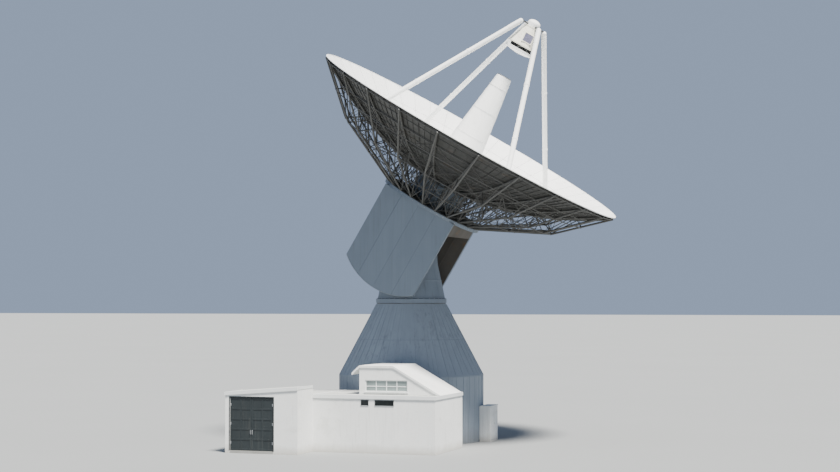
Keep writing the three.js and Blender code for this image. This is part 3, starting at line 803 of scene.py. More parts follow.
def ring_of_dots(count, radius, height, outward=False, phase=0.0):
    """Dots round Z that face outward, or up."""
    angles = [phase + FULL_TURN * i / count for i in range(count)]
    return [(polar(radius, height, a), polar(1, 0, a) if outward else Vector((0, 0, 1))) for a in angles]


def moved(dots, matrix):
    return [(matrix @ place, matrix.to_3x3() @ facing) for place, facing in dots]


def paint_node(node, finish):
    """Gives a CAD node that stays a finish of its own."""
    materials = frame["nodes"][node].data.materials
    materials.clear()
    materials.append(finish())


# Reflector

def front_height(radius):
    """Height of the reflector's face at a radius."""
    return RIM_HEIGHT + (radius ** 2 - RIM_RADIUS ** 2) / (4 * sizes().focal_length)


def front_slope(radius):
    return math.atan(radius / (2 * sizes().focal_length))


def first_panel(count):
    """Angle of the middle of a ring's first panel."""
    return RIB_STEP / 2 + math.pi / count


def make_panels():
    size = sizes()
    shared = {"Gap": size.panel_gap, "Thickness": size.panel_sheet, "Focal_Length": size.focal_length,
              "Rim_Radius": RIM_RADIUS, "Rim_Height": RIM_HEIGHT, "Material": panel_paint(),
              "Back_Material": panel_back()}
    for number, (inner, outer, count) in enumerate(PANEL_RINGS):
        name = f"panel_ring_{number + 1}"
        ring = grow(linked(name, bpy.data.meshes.new(name)), panel_tree(), Inner_Radius=inner,
                    Outer_Radius=outer, Count=count, First_Angle=first_panel(count),
                    Cells=CELLS_ROUND // count, Seed=number, **shared)
        settle(ring, "dish", "panel_white", stands_for=() if number else QUADRANTS, crease=40)


def add_panel_frame(bm, inner, outer, count):
    """Edge flanges and stiffeners behind one panel."""
    sheet = sizes().panel_sheet
    inset = sizes().panel_gap / 2 + 0.006
    flange = (0.07, 0.006)
    stiffener = (0.008, SHELL_DEPTH - sheet - 0.006)
    half = math.pi / count
    low, high = inner + inset, outer - inset

    def back(radius, angle):
        return polar(radius, front_height(radius) - sheet, angle)

    def add_spoke(radii, angles, bar):
        sides = [(-math.sin(a), math.cos(a), 0) for a in angles]
        add_strip(bm, [back(r, a) for r, a in zip(radii, angles)], sides, *bar)

    def add_arc(radius, reach, steps, bar):
        angles = spread(-reach, reach, steps)
        uphill = math.cos(front_slope(radius)), math.sin(front_slope(radius))
        add_strip(bm, [back(radius, a) for a in angles], [polar(*uphill, a) for a in angles], *bar)

    add_spoke(spread(inner, outer, 4), [half] * 5, flange)
    if outer < RIM_RADIUS:
        add_arc(outer, half, 8, flange)
    for share in (-1, -0.34, 0.34, 1):
        radii = spread(low, high, 3)
        add_spoke(radii, [share * (half - inset / r) for r in radii], stiffener)
    for radius in (low, (low + high) / 2, high):
        add_arc(radius, half - inset / radius, 6, stiffener)


def make_panel_frames():
    for number, (inner, outer, count) in enumerate(PANEL_RINGS):
        # The frames take the panel backs' finish with its painted shade.
        with shaping(f"panel_frames_{number + 1}", "dish", "panel_white", panel_back, crease=30,
                     grown=round_z(count, first_panel(count), seed=number)) as bm:
            add_panel_frame(bm, inner, outer, count)


def make_adjusters():
    """The screws at the corners of the panels, which set the reflector's shape."""
    dots = []
    for inner, outer, count in PANEL_RINGS:
        for i in range(count):
            middle = first_panel(count) + FULL_TURN * i / count
            for radius in (inner + ADJUSTER_INSET, outer - ADJUSTER_INSET):
                slope = front_slope(radius)
                for side in (-1, 1):
                    angle = middle + side * (math.pi / count - ADJUSTER_INSET / radius)
                    facing = polar(-math.sin(slope), math.cos(slope), angle)
                    dots.append((polar(radius, front_height(radius) + 0.002, angle), facing))
    bolts("panel_adjusters", dots, "dish", "panel_white", scale=0.9)


def make_rim():
    """The rolled edge round the reflector, and the collar round the feed's foot."""
    roll = 0.03
    edge = arc(RIM_RADIUS - roll, RIM_HEIGHT - roll, roll, spread(0, FULL_TURN, 10)[:-1])
    turned("rim_edge", edge, *WHITE, steps=CELLS_ROUND)
    low = front_height(PANEL_RINGS[0][0])
    inner, outer = HUB_RADIUS - 0.015, HUB_RADIUS + 0.13
    collar = [(inner, low - 0.02), (outer, low + 0.016), (outer, low + 0.024), (inner + 0.01, low + 0.07),
              (inner, low + 0.07)]
    turned("feed_collar", collar, *WHITE)


# Back structure

def shell_back(radius):
    return front_height(radius) - SHELL_DEPTH


def top_chord(radius, angle=0.0):
    return polar(radius, shell_back(radius) - sizes().chord, angle)


def bottom_chord(radius, angle=0.0):
    """A point on the ribs' lower chord: level over the deck, then up to the knee, then up to the rim."""
    chord = sizes().chord
    tip = (RIB_TIP, shell_back(RIB_TIP) - 2 * chord)
    stops = ((HUB_RADIUS, DECK_TOP), (DECK_RADIUS, DECK_TOP), KNEE, tip)
    return polar(radius, along_line([(height, place) for place, height in stops], radius) + chord, angle)


def lattice_bars():
    """The bars of one rib and of the bay that runs on to the next rib."""
    size = sizes()
    bars = Bars()

    def middles(values):
        return [(a + b) / 2 for a, b in zip(values, values[1:])]

    def cross(near, near_radius, far, far_radius):
        """Both diagonals between two chords' points and the same points on the next rib."""
        bars.add(near(near_radius), far(far_radius, RIB_STEP), size.brace)
        bars.add(far(far_radius), near(near_radius, RIB_STEP), size.brace)

    top_stops = sorted({*TOP_NODES, *middles(TOP_NODES), *PANEL_SEAMS})
    low_stops = sorted({*BOTTOM_NODES, *middles(BOTTOM_NODES), DECK_RADIUS, KNEE[0], OUTER_HOOP, RIB_TIP})
    bars.chain([top_chord(r) for r in top_stops], size.chord)
    bars.chain([bottom_chord(r) for r in low_stops], size.chord)
    for i, radius in enumerate(BOTTOM_NODES):
        for top in TOP_NODES[i:i + 2]:
            bars.add(bottom_chord(radius), top_chord(top), size.web)
    lean = 0.35
    for radius in TOP_NODES[2:5]:
        bars.add(top_chord(radius), bottom_chord(radius + (lean if radius > KNEE[0] else 0)), size.brace)
    for radius in (*BOTTOM_NODES[1:], OUTER_HOOP, RIB_TIP - 0.06):
        bars.add(bottom_chord(radius), bottom_chord(radius, RIB_STEP), size.web)
    for radius in PANEL_SEAMS:
        bars.add(top_chord(radius), top_chord(radius, RIB_STEP), size.web)
    for near, far in zip(BOTTOM_NODES[1:], BOTTOM_NODES[2:]):
        cross(bottom_chord, near, bottom_chord, far)
    for low, high in ((BOTTOM_NODES[1], PANEL_SEAMS[0]), (BOTTOM_NODES[3], PANEL_SEAMS[2])):
        cross(bottom_chord, low, top_chord, high)
    for near, far in zip(PANEL_SEAMS, PANEL_SEAMS[1:]):
        cross(top_chord, near, top_chord, far)
    return bars


def make_lattice():
    # The bars and joints take the darkened paint with its painted shade.
    copies = {"Count": RIB_COUNT, "First_Angle": RIB_STEP / 2, "Material": truss_paint()}
    bars = lattice_bars().grown("back_structure_bars", Sides=8, **copies)
    settle(bars, "dish", "lattice_steel", stands_for=LATTICES, crease=50)
    joints = [bottom_chord(r) for r in (*BOTTOM_NODES, OUTER_HOOP)]
    joints += [top_chord(r) for r in (*TOP_NODES[1:-1], *PANEL_SEAMS)]
    balls = loose("back_structure_balls", joints, [], "bar", [sizes().ball] * len(joints))
    settle(grow(balls, ball_tree(), **copies), "dish", "lattice_steel", crease=60)


def make_hub():
    for node in ("central_hub", "hub_deck"):
        paint_node(node, cladding_paint)
    skin = DECK_RADIUS + 0.012
    edge = hoop(DECK_RADIUS - 0.06, skin, DECK_BOTTOM - 0.03, DECK_TOP + 0.03)
    turned("deck_edge", edge, "dish", "lattice_steel", cladding_paint)
    inner, plate = HUB_RADIUS - 0.01, 0.024
    gusset = [(inner, DECK_TOP), (HUB_RADIUS + 0.3, DECK_TOP), (inner, DECK_TOP + 0.45)]
    with shaping("hub_gussets", *TRUSS, grown=round_z(RIB_COUNT, 0.0, seed=1)) as bm:
        add_prism(bm, gusset, -plate / 2, plate / 2)
    flange = hoop(HUB_RADIUS, HUB_RADIUS + 0.06, HUB_TOP - 0.16, HUB_TOP - 0.12)
    turned("hub_flange", flange, *TRUSS)
    dots = ring_of_dots(48, skin, DECK_TOP - 0.07, outward=True, phase=RIB_STEP / 4)
    bolts("deck_bolts", dots, "dish", "lattice_steel")


# Trunk

NEAR_CHEEK = dish_box("trunk_near_cheek")
BACK_PLATE = dish_box("trunk_back_plate")
TRUNK_SAG, TRUNK_TOP = (corner.z for corner in NEAR_CHEEK)
TRUNK_HALF = NEAR_CHEEK[1].x
TRUNK_CORNER = BACK_PLATE[0].z
CHEEK_IN = BACK_PLATE[1].y
CHEEK_OUT = dish_box("trunk_far_cheek")[1].y
SHEETS = 4
# Thickness of a cladding sheet, and the air between it and the core
SHEET_DEPTH, SHEET_AIR = 0.03, 0.004
PIN_RADIUS = 0.3
PIN_TIP = 1.6


def cheek_foot(x):
    """Height of the cheeks' curved lower edge."""
    rise = TRUNK_CORNER - TRUNK_SAG
    radius = (TRUNK_HALF ** 2 + rise ** 2) / (2 * rise)
    return TRUNK_SAG + radius - math.sqrt(radius ** 2 - x ** 2)


def cheek_outline(left, right, inset=0.0, steps=12):
    top = TRUNK_TOP - inset
    return [(right, top), (left, top)] + [(x, cheek_foot(x) + inset) for x in spread(left, right, steps)]


def sheet_spans(half):
    """Where each cladding sheet between -half and half begins and ends."""
    gap = sizes().sheet_gap / 2
    edges = spread(-half, half, SHEETS)
    return [(edges[i] + gap * (i > 0), edges[i + 1] - gap * (i < SHEETS - 1)) for i in range(SHEETS)]


def make_cheek(side, word):
    """One side of the trunk: a core, its cladding sheets, an edge trim, the lining and the elevation pin."""
    half = TRUNK_HALF
    inset = 0.012
    sheet_in = CHEEK_OUT - SHEET_DEPTH
    lining = CHEEK_IN + 0.02

    def part(name, finish, **rest):
        return shaping(f"{word}_cheek_{name}", "dish", "cladding", finish, **rest)

    def add_plate(bm, points, low, high):
        return add_prism(bm, points, *sorted((side * low, side * high)))

    with part("core", shadow_gap) as bm:
        add_plate(bm, cheek_outline(-half + inset, half - inset, inset, 32), lining, sheet_in - SHEET_AIR)
    with part("sheets", cladding_paint, stands_for=(f"trunk_{word}_cheek",)) as bm:
        layer = bm.verts.layers.float.new("tint")
        for (left, right), chance in zip(sheet_spans(half), (0.3, 0.75, 0.45, 0.6)):
            for vertex in add_plate(bm, cheek_outline(left, right), sheet_in, CHEEK_OUT):
                vertex[layer] = chance
    # The trim's light grey is partly a painted highlight along the lower edge.
    with part("trim", trim_paint) as bm:
        y = side * (CHEEK_OUT - 0.02)
        points = [Vector((x, y, cheek_foot(x) + 0.006)) for x in spread(-half, half, 48)]
        add_strip(bm, points, [ACROSS] * len(points), 0.07, 0.014)
    with part("edges", cladding_paint) as bm:
        low, high = sorted((side * lining, side * (CHEEK_OUT + 0.004)))
        for x in (-half, half):
            add_block(bm, (x - 0.006, low, TRUNK_CORNER + 0.02), (x + 0.006, high, TRUNK_TOP))
    # The lining's dark brown is painted shade and painted ground reflection.
    with part("lining", lining_primer) as bm:
        add_plate(bm, cheek_outline(-half + 0.16, half - inset, inset, 32), CHEEK_IN, lining)
        for x in spread(-half, half, 6)[1:-1]:
            stud = [(x + dx, z) for dx, z in hoop(-0.03, 0.03, TRUNK_TOP - 0.02, cheek_foot(x) + 0.04)]
            add_plate(bm, stud, CHEEK_IN - 0.025, CHEEK_IN)

    inner = CHEEK_IN + 0.01
    shank = PIN_RADIUS - 0.001
    collar = 0.4
    profile = [(0, PIN_TIP), (PIN_RADIUS - 0.02, PIN_TIP), (shank, PIN_TIP + 0.02), (shank, inner - 0.05),
               (collar, inner - 0.04), (collar, inner), (0, inner)]
    turned(f"{word}_cheek_pin", profile, "dish", "bearing_steel", dark_steel, steps=SMALL_ROUND,
           place=Matrix.Rotation(-side * math.pi / 2, 4, "X"))


def make_trunk_plates():
    """The back and the underside of the trunk, and the ballast slabs behind the back."""
    back = -TRUNK_HALF
    joint = 0.2
    gap = sizes().sheet_gap / 2
    with shaping("trunk_back_sheets", *TRUNK_SKIN, stands_for=("trunk_back_plate",)) as bm:
        layer = bm.verts.layers.float.new("tint")
        for (low, high), chance in zip(sheet_spans(CHEEK_IN), (0.35, 0.6, 0.7, 0.4)):
            for bottom, top in ((TRUNK_CORNER, joint - gap), (joint + gap, TRUNK_TOP)):
                for vertex in add_block(bm, (back, low, bottom), (back + SHEET_DEPTH, high, top)):
                    vertex[layer] = chance
    outer, inner = back + SHEET_DEPTH + SHEET_AIR, back + 0.138
    core = (outer, -CHEEK_IN, TRUNK_CORNER + 0.01), (inner, CHEEK_IN, TRUNK_TOP)
    block("trunk_back_core", *core, "dish", "cladding", shadow_gap)
    # The underside plate takes the lining's painted shade and ground reflection.
    paint_node("trunk_underside_plate", lining_primer)
    low, high = dish_box("counterweight")
    slabs = 12
    step = (high.z - low.z) / slabs
    block("ballast_slabs", low, (high.x, high.y, low.z + step - 0.012), "dish", "bearing_steel", dark_steel,
          bevel=0.008, grown=(row_tree(), {"Count": slabs, "Step": (0.0, 0.0, step), "Seed": 3}),
          stands_for=("counterweight",))


# Feed, legs and subreflector

FEED_LOW, FEED_HIGH = (corner.z for corner in dish_box("feed_cone"))
FEED_FOOT = 1.48
FEED_TIP = 0.47
LEG_FOOT = (6.94, 5.795)
LEG_HEAD = (0.889, 14.95)
MIRROR_LOW, MIRROR_HIGH = dish_box("subreflector")
CABIN_BOX = dish_box("subreflector_cabin")
CABIN_LOW, CABIN_HIGH = (corner.z for corner in CABIN_BOX)
CABIN_FOOT = CABIN_BOX[1].x
CABIN_TIP = 0.42
PLATE_LOW, PLATE_HIGH = (corner.z for corner in dish_box("apex_plate"))
HATCH_HEIGHT = 14.22
HATCH_SIZE = 0.54
HATCH_TURN = math.radians(26)
DOME_RADIUS = 0.4


def feed_radius(height):
    return along_line(((FEED_FOOT, FEED_LOW), (FEED_TIP, FEED_HIGH)), height)


def cabin_radius(height):
    return along_line(((CABIN_FOOT, CABIN_LOW), (CABIN_TIP, CABIN_HIGH)), height)


def leg_point(height):
    return polar(along_line((LEG_FOOT, LEG_HEAD), height), height)


def make_feed():
    low, high = FEED_LOW, FEED_HIGH
    ease, lip = 0.05, 0.06
    edge = arc(FEED_TIP - ease, high - ease, ease, [math.pi / 2 - a for a in (0.1, 0.5, 0.9, 1.3)])
    shell = [(0, high - 0.02), (FEED_TIP - lip, high - 0.02), (FEED_TIP - lip, high - 0.001), *edge,
             (feed_radius(high - lip), high - lip), (FEED_FOOT, low), (FEED_FOOT - 0.04, low),
             (FEED_TIP - ease, high - lip), (0, high - lip)]
    turned("feed_cone_shell", shell, *WHITE, stands_for=("feed_cone",))
    heights = [low + (high - low) * share for share in (0.22, 0.45, 0.68, 0.9)]
    proud = 0.014
    bands("feed_cone_bands", feed_radius, heights, *WHITE, inset=0.02, proud=proud, half=0.03)
    seam = [polar(feed_radius(z), z) for z in (low + 0.1, high - 0.1)]
    strips("feed_cone_seams", seam, 0.035, 0.012, *WHITE, grown=round_z(8, math.pi / 8, seed=2))
    dots = [dot for z in heights for dot in ring_of_dots(32, feed_radius(z) + proud, z, outward=True)]
    bolts("feed_cone_bolts", dots, "dish", "panel_white", scale=0.6)
    window = dish_box("feed_window")[1]
    radius, top = window.x, window.z
    dome = [(0, top)] + [(radius * share, top - 0.05 * share ** 2) for share in (0.25, 0.5, 0.75, 0.94)]
    dome += [(radius, top - 0.03), (radius, high), (0, high)]
    turned("feed_window_skin", dome, *CREAM, steps=SMALL_ROUND, stands_for=("feed_window",))
    ring = hoop(radius - 0.03, radius + 0.012, high - 0.02, top + 0.004)
    turned("feed_window_ring", ring, "dish", "panel_white", zinc, steps=SMALL_ROUND)


def on_each_leg(name, seed, finish=panel_paint, **rest):
    """A piece shaped on the first leg and copied to all four."""
    return shaping(name, "dish", "panel_white", finish, grown=round_z(len(LEGS), FIRST_LEG, seed), **rest)


def make_legs():
    radius = sizes().leg
    foot = leg_point(front_height(LEG_FOOT[0]) + 0.02)
    head = leg_point(LEG_HEAD[1] - 0.02)
    along = (head - foot).normalized()
    with on_each_leg("leg_tubes", 5, stands_for=LEGS) as bm:
        add_tube(bm, foot - along * 0.04, head, radius)
    with on_each_leg("leg_sleeves", 6) as bm:
        add_tube(bm, foot, foot + along * 0.5, radius + 0.025)
        for middle in (foot.lerp(head, 0.33), foot.lerp(head, 0.66)):
            add_tube(bm, middle - along * 0.05, middle + along * 0.05, radius + 0.018)
        add_tube(bm, head - along * 0.9, head - along * 0.14, radius + 0.008)
        for side in (-1, 1):
            top = foot + along * 0.42 + Vector((0, side * (radius + 0.01), 0))
            add_beam(bm, foot + Vector((0, side * 0.3, -0.05)), top, 0.02, 0.12)
    tilt = Matrix.Translation(foot) @ Matrix.Rotation(-front_slope(LEG_FOOT[0]), 4, "Y")
    with on_each_leg("leg_foot_plates", 7) as bm:
        add_lathe(bm, hoop(0, 0.36, 0, 0.03), 32, place=tilt)
    turns = [Matrix.Rotation(FIRST_LEG + FULL_TURN * i / len(LEGS), 4, "Z") for i in range(len(LEGS))]
    dots = [dot for turn in turns for dot in moved(ring_of_dots(8, 0.3, 0.035), turn @ tilt)]
    bolts("leg_foot_bolts", dots, "dish", "panel_white")
    struts = Bars()
    base = polar(LEG_FOOT[0], shell_back(LEG_FOOT[0]) + 0.01)
    for side in (-RIB_STEP / 2, RIB_STEP / 2):
        for chord, reach in ((bottom_chord, 7.15), (bottom_chord, 6.175), (top_chord, 7.0), (top_chord, 6.2)):
            struts.add(base, chord(reach, side), sizes().web)
    obj = struts.grown("leg_struts", Count=len(LEGS), First_Angle=FIRST_LEG, Sides=8, Material=truss_paint())
    settle(obj, "dish", "lattice_steel", crease=50)


def make_apex():
    low, rise = PLATE_LOW, PLATE_HIGH - PLATE_LOW
    wall = 0.45
    dome = [(0, low), (DOME_RADIUS, low)]
    for angle in (0, 0.3, 0.6, 0.9, 1.2):
        height = low + rise * (wall + (1 - wall) * math.sin(angle))
        dome.append((DOME_RADIUS * math.cos(angle), height))
    dome.append((0, PLATE_HIGH))
    turned("apex_dome", dome, *WHITE, steps=SMALL_ROUND, stands_for=("apex_plate",))
    middle = low + 0.055
    with on_each_leg("apex_arms", 14, dark_steel) as bm:
        add_beam(bm, (0.2, 0, middle), (LEG_HEAD[0], 0, middle), 0.12, 0.1)
    radius = sizes().leg + 0.004
    ball = arc(0, 0, radius, spread(-math.pi / 2, math.pi / 2, 12)[1:-1])
    with on_each_leg("apex_heads", 15) as bm:
        add_lathe(bm, [(0, -radius), *ball, (0, radius)], 32,
                  place=Matrix.Translation(leg_point(LEG_HEAD[1] - 0.02)))
    skin = [(0, CABIN_LOW), (CABIN_FOOT, CABIN_LOW), (CABIN_TIP, CABIN_HIGH), (0, CABIN_HIGH)]
    turned("cabin_skin", skin, *CREAM, stands_for=("subreflector_cabin",))
    heights = CABIN_LOW + 0.04, CABIN_HIGH - 0.06
    bands("cabin_bands", cabin_radius, heights, *CREAM)
    make_hatch()


def make_hatch():
    """The square pane in the cabin's side with its frame."""
    slope = math.atan((CABIN_FOOT - CABIN_TIP) / (CABIN_HIGH - CABIN_LOW))
    place = Matrix.Rotation(HATCH_TURN, 4, "Z")
    place @= Matrix.Translation((0, -cabin_radius(HATCH_HEIGHT), HATCH_HEIGHT))
    place @= Matrix.Rotation(-slope, 4, "X")
    half = HATCH_SIZE / 2
    bar = 0.045
    with shaping("hatch_frame", *CREAM, bevel=0.006, place=place) as bm:
        for low in (-half - bar, half):
            add_block(bm, (low, -0.03, -half - bar), (low + bar, 0.12, half + bar))
            add_block(bm, (-half, -0.03, low), (half, 0.12, low + bar))
    pane = (-half, -0.012, -half), (half, 0.1, half)
    block("hatch_pane", *pane, "dish", "cabin_cream", hatch_glass, place=place)


def make_subreflector():
    low, radius = MIRROR_LOW.z, MIRROR_HIGH.x
    depth = 0.15
    edge = low + depth
    neck = 0.3
    face = [(0, low)] + [(radius * s, low + depth * s ** 1.9) for s in (0.15, 0.3, 0.45, 0.6, 0.75, 0.9)]
    face += [(radius - 0.012, edge - 0.006), (radius, edge + 0.006), (radius, edge + 0.13),
             (radius - 0.03, edge + 0.14), (radius - 0.05, edge + 0.09), (0, edge - 0.02)]
    turned("mirror_face", face, *WHITE, stands_for=("subreflector",))
    with shaping("mirror_neck", "dish", "panel_white", shadow_gap) as bm:
        add_lathe(bm, hoop(0, neck, edge, CABIN_LOW), 48)
        add_lathe(bm, hoop(0.6, 0.66, edge + 0.05, CABIN_LOW), SMALL_ROUND)
    rib = [(neck, 0, edge + 0.1), (radius - 0.05, 0, edge + 0.06)]
    strips("mirror_ribs", rib, 0.014, 0.1, "dish", "panel_white", truss_paint,
           grown=round_z(12, 0.0, seed=8))
    jacks = Bars()
    jack_radius = 0.022
    lean = 0.12
    for angle in (0, FULL_TURN / 3, FULL_TURN * 2 / 3):
        for way in (-1, 1):
            head = polar(0.74, CABIN_LOW, angle + way * (math.pi / 3 - lean))
            jacks.add(polar(0.72, edge + 0.06, angle + way * lean), head, jack_radius)
    obj = jacks.grown("mirror_jacks", Count=1, First_Angle=0.0, Sides=12, Material=zinc())
    settle(obj, "dish", "panel_white")


# Turning head and pedestal

HEAD_LOW, HEAD_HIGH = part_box("turning_head")
TABLE_LOW, TABLE_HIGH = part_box("turntable")
BEARING_LOW, BEARING_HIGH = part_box("azimuth_bearing_ring")
BOSS_RADIUS = 0.52
WAIST = 10.7
SHOULDER = AXIS.z + 0.9
COLUMN = ((2.05, HEAD_LOW.z), (1.6, WAIST), (1.5, SHOULDER), (1.2, HEAD_HIGH.z))
KNEE_HEIGHT, NECK_HEIGHT = (corner.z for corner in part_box("pedestal_cone"))
DRUM_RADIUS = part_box("pedestal_drum")[1].x
NECK_RADIUS = 2.125


def column_radius(height):
    return along_line(COLUMN, height)


def make_head():
    column = [(0, HEAD_LOW.z), *COLUMN, (0, HEAD_HIGH.z)]
    turned("head_column", column, *HEAD_SKIN, stands_for=("turning_head",))
    heights = HEAD_LOW.z + 0.05, 9.65, WAIST, 11.3, SHOULDER
    bands("head_bands", column_radius, heights, *HEAD_SKIN, half=0.04)
    seam = [polar(*stop) for stop in COLUMN[:3]]
    strips("head_seams", seam, 0.05, 0.02, *HEAD_SKIN, grown=round_z(12, math.pi / 12, seed=9))
    face = -HEAD_LOW.y
    bore = PIN_RADIUS + 0.003
    root = 1.25
    boss = [(0, root), (BOSS_RADIUS, root), (BOSS_RADIUS, face - 0.02), (BOSS_RADIUS - 0.02, face),
            (bore + 0.01, face), (bore, face - 0.01), (bore, PIN_TIP - 0.02), (0, PIN_TIP - 0.02)]
    for side, word in ((-1, "near"), (1, "far")):
        turn = Matrix.Translation((0, 0, AXIS.z)) @ Matrix.Rotation(-side * math.pi / 2, 4, "X")
        turned(f"bearing_{word}", boss, *BEARING, steps=SMALL_ROUND, place=turn)
        dots = moved(ring_of_dots(16, 0.46, face + 0.003), turn)
        bolts(f"bearing_bolts_{word}", dots, "azimuth_head", "bearing_steel", scale=0.7)


def make_turntable():
    low, high, radius = TABLE_LOW.z, TABLE_HIGH.z, TABLE_HIGH.x
    skirt = BEARING_HIGH.x + 0.012
    drop = BEARING_LOW.z + 0.05
    disc = [(0, low), (skirt, low), (skirt, drop), (radius - 0.005, drop), (radius, drop + 0.005),
            (radius, high - 0.02), (radius - 0.02, high), (0, high)]
    turned("turntable_disc", disc, "azimuth_head", "bearing_steel", cladding_paint,
           stands_for=("turntable",))
    bolts("turntable_bolts", ring_of_dots(36, radius - 0.05, high + 0.01), "azimuth_head", "bearing_steel")


def pedestal_radius(height):
    return along_line(((DRUM_RADIUS, 0), (DRUM_RADIUS, KNEE_HEIGHT), (NECK_RADIUS, NECK_HEIGHT)), height)


def make_pedestal():
    knee, neck = KNEE_HEIGHT, NECK_HEIGHT
    inset, wall = 0.02, 0.25
    core = [(DRUM_RADIUS - inset, 0), (DRUM_RADIUS - inset, knee), (NECK_RADIUS - inset, neck),
            (NECK_RADIUS - wall, neck), (DRUM_RADIUS - wall, knee), (DRUM_RADIUS - wall, 0)]
    turned("pedestal_core", core, "base", "cladding", shadow_gap,
           stands_for=("pedestal_drum", "pedestal_cone"))
    seams = sizes().seams
    count = seams // 2
    gap, thickness = 0.006, 0.018
    sweep = FULL_TURN / count - gap / DRUM_RADIUS
    courses = (0.0, knee, (knee + neck) / 2, neck)
    for number in range(3):
        low, high = courses[number] + gap / 2, courses[number + 1] - gap / 2
        bottom, top = pedestal_radius(low), pedestal_radius(high)
        with shaping(f"pedestal_sheets_{number + 1}", *PEDESTAL_SKIN,
                     grown=round_z(count, 0.0, seed=10 + number)) as bm:
            sheet = [(bottom - thickness, low), (bottom, low), (top, high), (top - thickness, high)]
            add_lathe(bm, sheet, 8, -sweep / 2, sweep)
    seam = [polar(pedestal_radius(z) + 0.004, z) for z in (0.1, knee, neck - 0.1)]
    strips("pedestal_seams", seam, 0.03, 0.022, *PEDESTAL_SKIN,
           grown=round_z(seams, math.pi / seams, seed=13))
    flashings = ((0.0, 0.14, 0.016), (knee - 0.05, knee + 0.05, 0.018), (neck - 0.1, neck, 0.02))
    with shaping("pedestal_flashings", *PEDESTAL_SKIN) as bm:
        for low, high, proud in flashings:
            bottom, top = pedestal_radius(low), pedestal_radius(high)
            skirt = [(bottom - 0.01, low), (bottom + proud, low), (top + proud, high), (top - 0.01, high)]
            add_lathe(bm, skirt, LARGE_ROUND)
    radius = BEARING_HIGH.x
    ring = hoop(radius - 0.58, radius, BEARING_LOW.z, BEARING_HIGH.z)
    turned("bearing_ring", ring, "base", "bearing_steel", dark_steel, stands_for=("azimuth_bearing_ring",))
    paint_node("pedestal_floor", floor_concrete)


# Service building

WALLS = ("garage_left_pier", "garage_right_pier", "garage_lintel", "garage_left_wall", "garage_right_wall",
         "garage_step_wall", "garage_back_wall", "main_front_wall", "main_right_wall", "main_back_wall",
         "penthouse_front_wall", "penthouse_back_wall", "penthouse_left_wall", "penthouse_roof",
         "side_cabinet")
GARAGE_LOW, GARAGE_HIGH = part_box("garage_roof")
MAIN_LOW, MAIN_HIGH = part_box("main_roof")
VENTS = ((0.28, 0.72), (1.1, 2.2))
VENT_LOW, VENT_HIGH = 2.66, 2.92
HINGE_HEIGHTS = (0.5, 1.55, 2.6)


def make_walls():
    for node in WALLS:
        paint_node(node, wall_render)
    for node in ("garage_floor", "main_floor"):
        paint_node(node, floor_concrete)


def make_roof(name, low, high, left_top, thickness, stands_for=()):
    """A roof whose top rises from left to right, with folded metal along its open edges."""
    skin = 0.012
    lap = 0.09
    left, right, front, back = low.x, high.x, low.y, high.y
    slope = (high.z - left_top) / (right - left)

    def part(word, finish, **rest):
        return shaping(f"{name}_{word}", "base", "roofing", finish, **rest)

    def band(bm, x0, x1, y0, y1, upper, lower):
        """A strip of the roof between two depths below its top."""
        tops = [(x, left_top + (x - left) * slope) for x in (x0, x1)]
        outline = [(x, z - lower) for x, z in tops] + [(x, z - upper) for x, z in tops[::-1]]
        add_prism(bm, outline, y0, y1)

    with part("deck", roof_sheet, stands_for=stands_for) as bm:
        band(bm, left + skin, right - skin, front + skin, back, skin, thickness)
    with part("laps", roof_sheet) as bm:
        for y in spread(front, back, round((back - front) / 0.95))[1:-1]:
            band(bm, left + lap, right - lap, y, y + 0.06, skin - 0.005, skin + 0.001)
    with part("edges", white_trim) as bm:
        band(bm, left, right, front, front + skin, 0, thickness + 0.02)
        for x in (left, right - skin):
            band(bm, x, x + skin, front + skin, back, 0, thickness + 0.02)
        band(bm, left + skin, right - skin, front + skin, front + lap, 0, skin)
        for x0, x1 in ((left + skin, left + lap), (right - lap, right - skin)):
            band(bm, x0, x1, front + lap, back, 0, skin)


def make_roofs():
    make_roof("garage_roof", GARAGE_LOW, GARAGE_HIGH, GARAGE_LOW.z + 0.16, 0.16, ("garage_roof",))
    thickness = MAIN_HIGH.z - MAIN_LOW.z
    step = Vector((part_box("main_front_wall")[0].x, GARAGE_HIGH.y, 0))
    make_roof("main_roof", Vector((step.x, MAIN_LOW.y, 0)), MAIN_HIGH, MAIN_HIGH.z, thickness, ("main_roof",))
    rear = Vector((MAIN_LOW.x, step.y, 0)), Vector((step.x, *MAIN_HIGH.yz))
    make_roof("rear_roof", *rear, MAIN_HIGH.z, thickness)


def make_vents():
    """Two louvred grilles high in the main front wall."""
    front = MAIN_LOW.y + 0.05
    low, high = VENT_LOW, VENT_HIGH
    with shaping("vent_backs", "base", "door_grey", shadow_gap) as bm:
        for left, right in VENTS:
            add_block(bm, (left, front - 0.012, low), (right, front + 0.01, high))
    with shaping("vent_blades", "base", "door_grey", door_paint) as bm:
        for left, right in VENTS:
            for z in (low - 0.02, high):
                add_block(bm, (left - 0.02, front - 0.035, z), (right + 0.02, front, z + 0.02))
            for z in spread(low + 0.03, low + 0.21, 4):
                add_beam(bm, (left, front - 0.024, z), (right, front - 0.024, z), 0.006, 0.034, (0, 0.7, 0.7))


